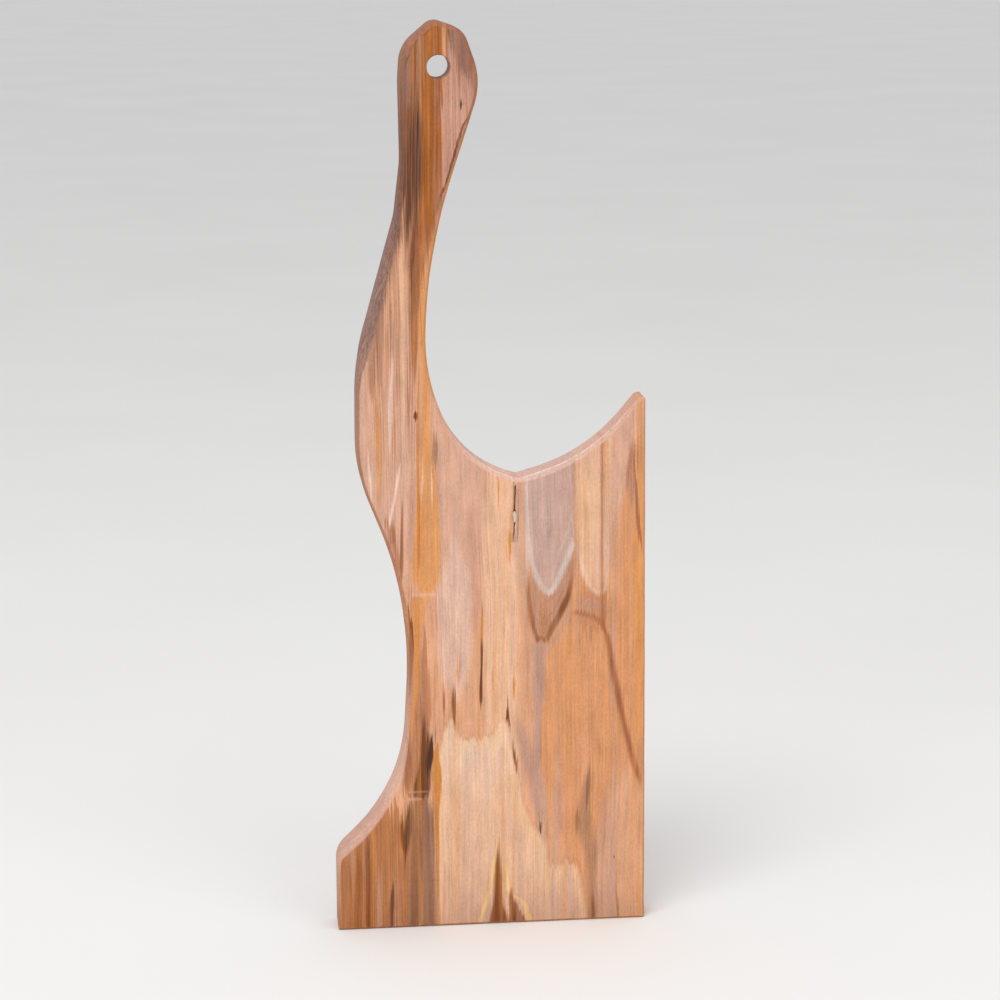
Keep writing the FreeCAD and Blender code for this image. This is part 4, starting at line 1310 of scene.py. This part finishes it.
    @staticmethod
    def _edges(graph: Graph, colour: bpy.types.NodeSocket, grain_x: Value, x: Value, y: Value,
               z: Value) -> tuple[bpy.types.NodeSocket, Value]:
        """Worked edges: the tint carried round the rim, cut end grain, a painted highlight along the front
        arris broken up like rubbed wear, and painted shade towards the floor.

        Args:
            graph: the material.
            colour: the colour so far.
            grain_x: place across, as the grain sways.
            x: place across the board.
            y: place into the board.
            z: place up the board.

        Returns:
            The colour, and how far the place belongs to a worked edge.
        """
        rim = graph.node("ShaderNodeAttribute", {"attribute_name": "rim_tint"}, {})
        worked = graph.value("ShaderNodeAttribute", {"attribute_name": "worked"}, {}, "Fac")
        arris = graph.value("ShaderNodeAttribute", {"attribute_name": "arris"}, {}, "Fac")
        normal = graph.node("ShaderNodeNewGeometry", {}, {}).outputs["Normal"]
        facing = graph.node("ShaderNodeSeparateXYZ", {}, {0: normal})
        ends = abs(Value(graph, facing.outputs[2])).rise(0.35, 0.9)
        scratch = graph.noise(x, y, z, SCRATCHES)
        rings = graph.noise(grain_x, y, z, SIDE_GRAIN)
        rasp = graph.noise(x * RISE - z * LEAN, y, x * LEAN + z * RISE, RASP_STROKES)
        neck = z.span((286.0, 318.0), (392.0, 420.0)) * x.fall(-46.0, -40.0) * worked
        tinted = graph.blend(colour, rim.outputs["Color"], worked * (neck * 0.1 + 0.68))
        tinted = graph.shade(tinted, 1.0 + (rasp - 0.5) * neck * 2.2)
        marks = (scratch - 0.5) * worked * 0.6 + (rings - 0.5) * worked * (ends * 0.3 + 0.45)
        tinted = graph.shade(tinted, 1.0 + marks)
        # Painted highlight: the arris line is lightened and broken up like rubbed wear. It is brightest where
        # the sweep faces up to the light, and near the crown the same line is darkened instead.
        rubbed = arris * scratch.rise(0.28, 0.5)
        high = z.rise(440.0, 458.0)
        tinted = graph.blend(tinted, Tint.RUBBED_HIGHLIGHT, rubbed * (1.0 - high) * 0.85)
        tinted = graph.blend(tinted, Tint.DUSK, arris * high * 0.7)
        # Painted shade: the wood darkens by up to 12 per cent over its lowest 26 mm, towards the floor.
        return graph.shade(tinted, 1.0 - z.fall(0.0, 26.0) * 0.12), worked

    def _surface(self, graph: Graph, colour: bpy.types.NodeSocket, worked: Value, x: Value, grain_x: Value,
                 y: Value, z: Value, fibre: Value) -> bpy.types.Material:
        """Roughness and relief: raised fibres, open pores, and rasp marks on worked edges.

        Args:
            graph: the material.
            colour: the finished colour.
            worked: how far a place belongs to a worked edge.
            x: place across the board.
            grain_x: place across, as the grain sways.
            y: place into the board.
            z: place up the board.
            fibre: chance of single fibres.

        Returns:
            The material, ended with its shader.
        """
        fibres = graph.noise(grain_x, y, z, RAISED_FIBRES)
        pores = graph.noise(grain_x, y, z, OPEN_PORES)
        rasp = graph.noise(x, y, z, RASP_RELIEF)
        normal = graph.relief(fibres * 0.6 + pores * 0.35 + rasp * worked * 1.6, self.bump_depth)
        rough = (fibre - 0.5) * 0.14 + worked * 0.1 + self.roughness
        return graph.finish({
            "Base Color": colour, "Roughness": rough, "Normal": normal, "Specular IOR Level": self.gloss,
        })


@dataclass(frozen=True)
class HardFiller:
    """Set filler: pale grey, a little mottled, rubbed flat with the wood."""

    name: str = "filler_looks"
    shown: Colour = (206, 196, 188)
    stained: Colour = (168, 142, 122)
    roughness: float = 0.6
    bump_depth: float = 0.00008

    def build(self) -> bpy.types.Material:
        """Builds the material.

        Returns:
            The material.
        """
        graph = Graph(self.name)
        x, y, z = graph.millimetres()
        cloud, grit = graph.noise(x, y, z, FILLER_CLOUD), graph.noise(x, y, z, FILLER_GRIT)
        colour = graph.ramp(cloud, ((0.25, linear_colour(self.stained)), (0.6, linear_colour(self.shown))))
        return graph.finish({
            "Base Color": graph.shade(colour, 1.0 + (grit - 0.5) * 0.25),
            "Roughness": (grit - 0.5) * 0.2 + self.roughness,
            "Normal": graph.relief(grit, self.bump_depth),
        })


# Depth of the slow waves that a hand plane leaves in a face, in millimetres.
PLANE_DEPTH = 0.14


def undulate(points: np.ndarray, faces: Pair) -> np.ndarray:
    """Leaves flat faces a little uneven, as a hand plane does: slow waves, only ever inwards.

    Args:
        points: vertices in millimetres.
        faces: depths of the board's front and back face.

    Returns:
        The moved vertices: each face by its own wave, and the wood between by shares of both.
    """
    x, z = points[:, 0], points[:, 2]
    share = (points[:, 1] - faces[0]) / (faces[1] - faces[0])
    front = 0.5 + 0.25 * np.sin(x * 0.14 + 0.8 * np.sin(z * 0.03)) + 0.25 * np.sin(z * 0.045 + x * 0.03)
    back = 0.5 + 0.25 * np.sin(x * 0.12 + 1.0) + 0.25 * np.sin(z * 0.05 - x * 0.02)
    moved = points.copy()
    moved[:, 1] += PLANE_DEPTH * (front * (1.0 - share) - back * share)
    return moved


@dataclass
class HangingHole:
    """The drilled hole: its middle, its radius and the eased rim, in millimetres."""

    centre: Pair
    radius: float
    ease: float = 0.6
    land: float = 0.8
    sides: int = 96
    wall_rings: int = 4

    def ring(self, radius: float) -> np.ndarray:
        """A circle round the hole's middle, clockwise seen from the front."""
        turn = -2.0 * math.pi * np.arange(self.sides) / self.sides
        return np.stack([self.centre[0] + radius * np.cos(turn), self.centre[1] + radius * np.sin(turn)], -1)

    def profile(self, thickness: float, steps: int = 5) -> np.ndarray:
        """Radius and depth of every ring: a flat land, a soft rim, the wall, and the same behind.

        Args:
            thickness: the board's thickness.
            steps: points of the soft rim.

        Returns:
            A radius and a depth for each ring, from the front face to the back.
        """
        r, e = self.radius, self.ease
        rim = bend((r + e, 0.0), (r + e * 0.15, 0.0), (r, e), steps)
        rim = np.concatenate([[[r + e + self.land, 0.0]], rim])
        down = np.linspace(e, thickness - e, self.wall_rings + 2)[1:-1]
        wall = np.stack([np.full(self.wall_rings, r), down], -1)
        back = rim[::-1] * np.array([1.0, -1.0]) + np.array([0.0, thickness])
        return np.concatenate([rim, wall, back])


@dataclass
class DryingCheck:
    """The crack in the front face below the notch, with the pocket that holds the filler.

    Points are (up, middle, half width) in millimetres, from the top down.
    """

    stations: tuple[tuple[float, float, float], ...] = (
        (240.2, 14.05, 0.16), (239.4, 14.0, 0.36), (236.0, 13.9, 0.42), (231.0, 13.65, 0.38),
        (227.4, 13.5, 0.42), (226.6, 13.5, 0.72), (225.8, 13.5, 0.84), (222.5, 13.5, 0.88),
        (221.0, 13.5, 0.80), (220.1, 13.5, 0.50), (219.6, 13.45, 0.30), (216.0, 13.25, 0.20),
        (211.0, 13.0, 0.12), (209.4, 12.95, 0.05),
    )
    depth: float = 3.4
    steps: int = 60
    rows: int = 5

    def sides(self, narrow: float) -> tuple[np.ndarray, np.ndarray]:
        """The crack's left and right line, from the top down, at a share of its width.

        Args:
            narrow: the share of its width.

        Returns:
            The left line and the right line, across and up.
        """
        table = np.array(self.stations)
        up = np.linspace(table[0, 0], table[-1, 0], self.steps)
        middle = np.interp(-up, -table[:, 0], table[:, 1])
        middle = middle + 0.1 * np.sin(up * 1.9) * np.sin(up * 0.7)
        half = np.interp(-up, -table[:, 0], table[:, 2]) * narrow
        return np.stack([middle - half, up], -1), np.stack([middle + half, up], -1)

    def loop(self, narrow: float) -> np.ndarray:
        """The crack as a closed line: down its right side and back up its left."""
        left, right = self.sides(narrow)
        return np.concatenate([right, left[::-1]])


@dataclass
class Plank:
    """The carved board: rim, faces, hole and crack in one closed skin.

    The skin keeps inside the box of the CAD plank. Soft, the land and the least land are shares of
    the chamfer's reach, and the three losses are how much of a size handwork takes off at most. Hand,
    the depth of file marks, the grid of the faces and the reach behind are in millimetres.
    """

    box: tuple[Vector, Vector]
    hole: HangingHole
    check: DryingCheck
    soft: float = 0.22
    land: float = 1.3
    least_land: float = 0.2
    reach_loss: float = 0.14
    drop_loss: float = 0.16
    back_loss: float = 0.15
    hand: float = 0.22
    grid: float = 4.0
    back_reach: float = 2.0
    side_rings: int = 6
    tint_reach: int = 14
    tint_passes: int = 3

    def build(self, finish: OiledWood) -> bpy.types.Object:
        """Makes the skin and dresses it.

        Args:
            finish: the wood.

        Returns:
            The piece.
        """
        low, high = self.box
        width, height = (high.x - low.x) / MM, (high.z - low.z) / MM
        outline = Outline(OUTLINE, (width / DRAWN_WIDTH, height / DRAWN_HEIGHT))
        rim, tints, worked, arris = self._rim(outline)
        front_y, back_y = low.y / MM, high.y / MM
        tubes = (rim, self._hole(front_y, back_y), self._crack(front_y))
        starts = np.cumsum([0] + [len(tube) * tube.shape[1] for tube in tubes])
        points, faces = [tube.reshape(-1, 3) for tube in tubes], []
        for tube, start, outward in zip(tubes, starts, (True, False, False)):
            faces += tube_faces(*tube.shape[:2], start, outward).tolist()
        mouth = tubes[2].shape[1]
        faces += self._crack_floor(starts[3] - mouth, mouth).tolist()
        # The crack opens in the front face only, so the back face is cut by the rim and the hole.
        for ring, depth, edges in ((0, front_y, 3), (-1, back_y, 2)):
            fill, triangles = self._face(tubes[:edges], starts, ring, sum(len(part) for part in points))
            points.append(np.insert(fill, 1, depth, 1))
            faces += triangles.tolist()
        skin = undulate(np.concatenate(points), (front_y, back_y))
        rest = len(skin) - starts[1]
        attributes = {
            "rim_tint": np.concatenate([tints, np.tile(tints.mean(0), (rest, 1))]),
            "worked": np.concatenate([worked, np.zeros(rest)]),
            "arris": np.concatenate([arris, np.zeros(rest)]),
        }
        piece = mesh_object("board_plank", skin, faces, attributes)
        piece.data.materials.append(finish.build())
        return piece

    def _face(self, tubes: tuple[np.ndarray, ...], starts: np.ndarray, ring: int,
              first: int) -> tuple[np.ndarray, np.ndarray]:
        """Fills the front or the back face, up to the rings of the tubes that end in it.

        Args:
            tubes: the rim, the hole and, in front, the crack, as points by ring and place.
            starts: number of each tube's first vertex.
            ring: 0 for the front, -1 for the back.
            first: number that the face's first own vertex gets.

        Returns:
            The face's own points, across and up, and its triangles, which point outwards.
        """
        loops = [tube[ring][:, [0, 2]] for tube in tubes]
        numbers = [
            start + (ring % len(tube)) * len(loop) + np.arange(len(loop))
            for tube, start, loop in zip(tubes, starts, loops)
        ]
        sheet, triangles = sheet_between(loops[0], loops[1:], self.grid)
        fill = sheet[sum(len(loop) for loop in loops):]
        triangles = np.concatenate([*numbers, first + np.arange(len(fill))])[triangles]
        return fill, triangles if ring == 0 else triangles[:, ::-1]

    def _rim(self, outline: Outline) -> tuple[np.ndarray, np.ndarray, np.ndarray, np.ndarray]:
        """The worked edge: a profile carried round the outline.

        At each place the profile runs from the front face over a soft corner, down the chamfer, over
        the arris, along the side, and the same way onto the back. A profile point lies at a share of
        the way from the outline to the chamfer's inner line, and at a share of the chamfer's drop.

        Args:
            outline: the board's outline.

        Returns:
            Points by ring and place, and for each its tint, how worked it is, and the strength of the painted
            highlight on its arris.
        """
        front_y, back_y = self.box[0].y / MM, self.box[1].y / MM
        places = outline.places()
        reach = outline.values("reach")
        back_reach = np.minimum(reach, self.back_reach)
        outer, inner, inner_land, back_inner, back_land = (
            outline.sample(outline.line(inset), places)
            for inset in (reach * 0.0, reach, reach * self.land, back_reach, back_reach * self.land)
        )
        step = np.linalg.norm(np.roll(outer, -1, 0) - outer, axis=-1)
        length, total = np.concatenate([[0.0], np.cumsum(step)[:-1]]), float(step.sum())
        kept = np.interp(outline.numbers(places), *np.array(CHAMFER_SHARES).T)[:, None]
        depth = outline.sample(outline.spread(outline.values("drop")), places) * kept
        depth = depth * DROP_WAVER.loss(length, total, self.drop_loss)
        back_depth = outline.sample(outline.spread(back_reach), places)
        back_depth = back_depth * BACK_WAVER.loss(length, total, self.back_loss)
        inner_land = outer + (inner_land - outer) * np.maximum(kept, self.least_land)
        inner = outer + (inner - outer) * kept * CHAMFER_WAVER.loss(length, total, self.reach_loss)
        inward = inner - outer
        inward = inward / np.maximum(np.linalg.norm(inward, axis=-1, keepdims=True), TINY)
        chamfer = self._chamfer()
        share, fall = chamfer[:, :1, None], chamfer[:, 1:, None]
        front_depth = front_y + depth[None] * fall
        back_fall = (back_y - back_depth[None] * fall)[::-1]
        rows = np.linspace(0.0, 1.0, self.side_rings + 2)[1:-1][:, None, None]
        marks = np.stack([mark.along(length, total) for mark in FILE_MARKS])[:, :, None]
        plans_and_depths = (
            (inner_land[None], np.full((1, len(outer), 1), front_y)),
            (outer + (inner - outer) * share, front_depth),
            (outer + inward * (self.hand * marks * np.sin(np.pi * rows)),
             front_depth[-1] * (1.0 - rows) + back_fall[0] * rows),
            ((outer + (back_inner - outer) * share)[::-1], back_fall),
            (back_land[None], np.full((1, len(outer), 1), back_y)),
        )
        rings = np.concatenate([np.concatenate([plan, deep], -1) for plan, deep in plans_and_depths])
        rings[:, :, :2] += (self.hand * HOLLOW_WAVER.along(length, total))[:, None] * inward
        worked, arris = self._work_and_arris_highlight(chamfer, outer)
        return rings[:, :, [0, 2, 1]], np.tile(self._tints(outline, places), (len(rings), 1)), worked, arris

    def _chamfer(self) -> np.ndarray:
        """Shares of reach and drop, from the soft corner on the face to the one on the side.

        Returns:
            A pair of shares for each point of the profile.
        """
        soft = self.soft
        return np.concatenate([
            bend((1.0 + soft, 0.0), (1.0, 0.0), (1.0 - soft, soft), 5),
            [[0.5, 0.5]],
            bend((soft, 1.0 - soft), (0.0, 1.0), (0.0, 1.0 + soft * 1.6), 6),
        ])

    def _tints(self, outline: Outline, places: np.ndarray) -> np.ndarray:
        """The corners' tints round the rim, evened out by moving averages.

        Args:
            outline: the board's outline.
            places: positions along its dense line.

        Returns:
            A colour for each position.
        """
        corner_tints = np.array([(*corner.tint.linear(), 1.0) for corner in outline.corners])
        tints = outline.sample(outline.spread(corner_tints), places)
        shifts = range(-self.tint_reach, self.tint_reach + 1)
        for _ in range(self.tint_passes):
            tints = sum(np.roll(tints, shift, 0) for shift in shifts) / float(len(shifts))
        return tints

    def _work_and_arris_highlight(self, chamfer: np.ndarray, outer: np.ndarray) -> tuple[np.ndarray, np.ndarray]:
        """How worked the rim is, and how strong the painted highlight on its front arris is.

        Work is full on the chamfer and the side, and falls to nothing on the face's soft corner. The
        arris highlight is a bell curve about the chamfer's outer end. It is brightest in the sweep on the
        right, which faces up to the light.

        Args:
            chamfer: shares of reach and drop.
            outer: the outline.

        Returns:
            One number of each kind for every vertex of the rim.
        """
        front = np.interp(chamfer[:, 0], [0.0, 0.9, 1.0 + self.soft], [1.0, 1.0, 0.0])
        worked = np.concatenate([[0.0], front, np.ones(self.side_rings), front[::-1], [0.0]])
        edge = np.exp(-(((chamfer[:, 0] - 0.02) / 0.12) ** 2)) * (chamfer[:, 1] < 1.05)
        arris = np.concatenate([[0.0], edge, np.zeros(self.side_rings + len(chamfer)), [0.0]])
        # Strength of the painted highlight: brightest in the sweep on the right, which faces up to the light,
        # and faint on the left.
        bright = np.interp(outer[:, 1], [60.0, 230.0, 246.0, 275.0, 284.0], [0.15, 0.3, 1.0, 0.8, 0.2])
        bright = bright * np.interp(outer[:, 0], [-80.0, -20.0, 10.0], [0.25, 0.3, 1.0])
        return np.repeat(worked, len(outer)), (arris[:, None] * bright[None]).ravel()

    def _hole(self, front_y: float, back_y: float) -> np.ndarray:
        """Walls of the hole, as rings from the front face to the back.

        Args:
            front_y: depth of the front face.
            back_y: depth of the back face.

        Returns:
            Points by ring and place.
        """
        return np.stack([
            np.insert(self.hole.ring(radius), 1, front_y + depth, 1)
            for radius, depth in self.hole.profile(back_y - front_y)
        ])

    def _crack(self, front_y: float) -> np.ndarray:
        """Walls of the crack: its line at each depth, narrower by the square root of what is left.

        Args:
            front_y: depth of the front face.

        Returns:
            Points by ring and place.
        """
        depths = np.linspace(0.0, 1.0, self.check.rows)
        rings = [self.check.loop(max(math.sqrt(1.0 - d * 0.98), 0.1)) for d in depths]
        return np.stack([
            np.insert(ring, 1, front_y + self.check.depth * d, 1) for ring, d in zip(rings, depths)
        ])

    def _crack_floor(self, start: int, count: int) -> np.ndarray:
        """Quads that close the crack's bottom, from its right line to its left.

        Args:
            start: number of the lowest ring's first vertex.
            count: how many vertices that ring has.

        Returns:
            Four vertex numbers for each face.
        """
        i = np.arange(count // 2 - 1)
        right, left = start + i, start + count - 1 - i
        return np.stack([right, left, left - 1, right + 1], -1)


@dataclass
class CheckFiller:
    """The plug of filler: a slug that follows the pocket, domed a hair below the face.

    The profile gives each ring's share of the plug's width and height, and its depth below the sunk
    face, in millimetres. Faces are the depths of the board's front and back.
    """

    box: tuple[Vector, Vector]
    faces: Pair
    turns: int = 48
    squareness: float = 0.75
    sink: float = 0.02
    profile: Points = (
        (0.02, 0.01), (0.5, 0.01), (0.88, 0.02), (0.98, 0.06), (1.0, 0.25),
        (0.98, 1.2), (0.9, 2.4), (0.6, 2.9), (0.02, 2.95),
    )

    def build(self, finish: HardFiller) -> bpy.types.Object:
        """Makes the plug and dresses it.

        A ring at angle t lies at half the width times the cosine, and at half the height times the
        sine, each to the power of the squareness. Rings shrink towards the top and the bottom.

        Args:
            finish: the filler.

        Returns:
            The piece.
        """
        low, high = (np.array(corner) / MM for corner in self.box)
        middle, half = (low + high) / 2.0, (high - low) / 2.0
        turn = np.linspace(0.0, 2.0 * math.pi, self.turns, endpoint=False)
        square, tall = (
            np.sign(wave) * np.abs(wave) ** self.squareness for wave in (np.cos(turn), np.sin(turn))
        )
        lumps = 0.95 + 0.03 * np.sin(turn * 3.0 + 0.6) + 0.02 * np.sin(turn * 7.0)
        size, depth = (column[:, None] for column in np.array(self.profile).T)
        x = middle[0] + half[0] * square * lumps * size
        z = middle[2] + half[2] * tall * lumps * size
        y = np.broadcast_to(low[1] + self.sink + depth, x.shape)
        points = undulate(np.stack([x, y, z], -1).reshape(-1, 3), self.faces)
        faces = tube_faces(len(self.profile), self.turns, 0, False).tolist()
        last = len(points) - 1
        faces += [list(range(self.turns)), list(range(last, last - self.turns, -1))]
        piece = mesh_object("check_filler_plug", points, faces, {})
        piece.data.materials.append(finish.build())
        return piece


@dataclass(frozen=True)
class SoftLight:
    """A square soft light: its name, its place from the board's middle, its side and its power.

    Lengths are in metres, and the power is in watts.
    """

    name: str
    offset: tuple[float, float, float]
    side: float
    power: float


@dataclass
class Studio:
    """Floor, soft lights and the camera, placed from the board's own box in metres.

    The camera's angles are in degrees, its lens in millimetres, and its aim is from the board's middle.
    """

    box: tuple[Vector, Vector]
    azimuth: float = -5.81
    elevation: float = 12.0
    roll: float = -0.443
    distance: float = 1.5187
    aim: tuple[float, float, float] = (0.0069, 0.0, -0.0092)
    lens: float = 104.4
    lights: tuple[SoftLight, ...] = (
        SoftLight("light_key", (-0.9, -1.5, 2.1), 1.5, 34.0),
        SoftLight("light_fill", (1.4, -1.7, 1.0), 1.6, 9.0),
    )
    room: tuple[float, float, float, float] = (0.93, 0.94, 0.96, 1.0)
    room_strength: float = 0.78
    floor_reach: float = 40.0
    floor_cells: int = 8

    def build(self) -> None:
        """Makes the floor, the lights, the surroundings and the camera."""
        self._floor()
        self._surroundings()
        for light in self.lights:
            self._light(light)
        self._camera()
        bpy.context.scene.view_settings.view_transform = "Standard"

    def _floor(self) -> None:
        """A wide pale sheet under the board, with a faint cloud in its tone."""
        line = self.floor_cells + 1
        steps = np.linspace(-self.floor_reach, self.floor_reach, line)
        x, y = np.meshgrid(steps, steps)
        points = np.stack([x, y, np.full(x.shape, self.box[0].z)], -1).reshape(-1, 3) / MM
        i, j = np.meshgrid(np.arange(self.floor_cells), np.arange(self.floor_cells), indexing="ij")
        a = (i * line + j).ravel()
        faces = np.stack([a, a + 1, a + line + 1, a + line], -1).tolist()
        floor = mesh_object("floor", points, faces, {})
        graph = Graph("floor_paper")
        place = graph.node("ShaderNodeTexCoord", {}, {}).outputs["Object"]
        cloud = graph.value("ShaderNodeTexNoise", {}, {"Vector": place, "Scale": 3.0, "Detail": 3.0})
        colour = graph.ramp(cloud, ((0.0, (0.80, 0.79, 0.77)), (1.0, (0.86, 0.85, 0.83))))
        floor.data.materials.append(graph.finish({"Base Color": colour, "Roughness": 0.9}))
        floor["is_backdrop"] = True

    def _surroundings(self) -> None:
        """An even pale room."""
        world = bpy.data.worlds.new("room")
        world.use_nodes = True
        background = world.node_tree.nodes["Background"]
        background.inputs[0].default_value = self.room
        background.inputs[1].default_value = self.room_strength
        bpy.context.scene.world = world

    def _light(self, light: SoftLight) -> None:
        """Hangs one light, which faces the board's middle.

        Args:
            light: the light.
        """
        lamp = bpy.data.lights.new(light.name, "AREA")
        lamp.size, lamp.energy = light.side, light.power
        holder = bpy.data.objects.new(light.name, lamp)
        holder.location = (self.box[0] + self.box[1]) / 2.0 + Vector(light.offset)
        holder.rotation_euler = (-Vector(light.offset)).to_track_quat("-Z", "Y").to_euler()
        bpy.context.scene.collection.objects.link(holder)

    def _camera(self) -> None:
        """The camera looks at the board's middle, a little to its right and below it."""
        a, e, r = (math.radians(v) for v in (self.azimuth, self.elevation, self.roll))
        back = Vector((math.sin(a) * math.cos(e), -math.cos(a) * math.cos(e), math.sin(e)))
        level = Vector((math.cos(a), math.sin(a), 0.0))
        up = back.cross(level)
        right = level * math.cos(r) + up * math.sin(r)
        up = up * math.cos(r) - level * math.sin(r)
        target = (self.box[0] + self.box[1]) / 2.0 + Vector(self.aim)
        camera = bpy.data.cameras.new("camera")
        camera.lens, camera.sensor_width = self.lens, 36.0
        camera.clip_start, camera.clip_end = 0.05, 100.0
        holder = bpy.data.objects.new("camera", camera)
        turn = Matrix((right, up, back)).transposed().to_4x4()
        holder.matrix_world = Matrix.Translation(target + back * self.distance) @ turn
        bpy.context.scene.collection.objects.link(holder)
        bpy.context.scene.camera = holder


def hole_from_record(record: dict) -> HangingHole:
    """Reads the hanging hole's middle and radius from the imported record.

    Args:
        record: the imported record.

    Returns:
        The hole.
    """
    mount = next(m for m in record["mounts"] if m["name"] == "hanging_hole")
    across, _, up = mount["pos_m"]
    return HangingHole((across / MM, up / MM), mount["dims"]["r_mm"])


def main() -> None:
    """Builds the pieces in order, and reports each one."""
    logging.basicConfig(level=logging.INFO, format="%(name)s: %(message)s")
    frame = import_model()
    cad_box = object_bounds()
    plank = Plank(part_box("plank"), hole_from_record(frame["record"]), DryingCheck()).build(OiledWood())
    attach(plank, "root")
    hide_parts("plank")
    LOG.info("%s: %d faces", plank.name, len(plank.data.polygons))
    faces = (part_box("plank")[0].y / MM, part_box("plank")[1].y / MM)
    filler = CheckFiller(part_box("check_filler"), faces).build(HardFiller())
    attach(filler, "root")
    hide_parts("check_filler")
    LOG.info("%s: %d faces", filler.name, len(filler.data.polygons))
    Studio(cad_box).build()


if __name__ == "__main__":
    main()
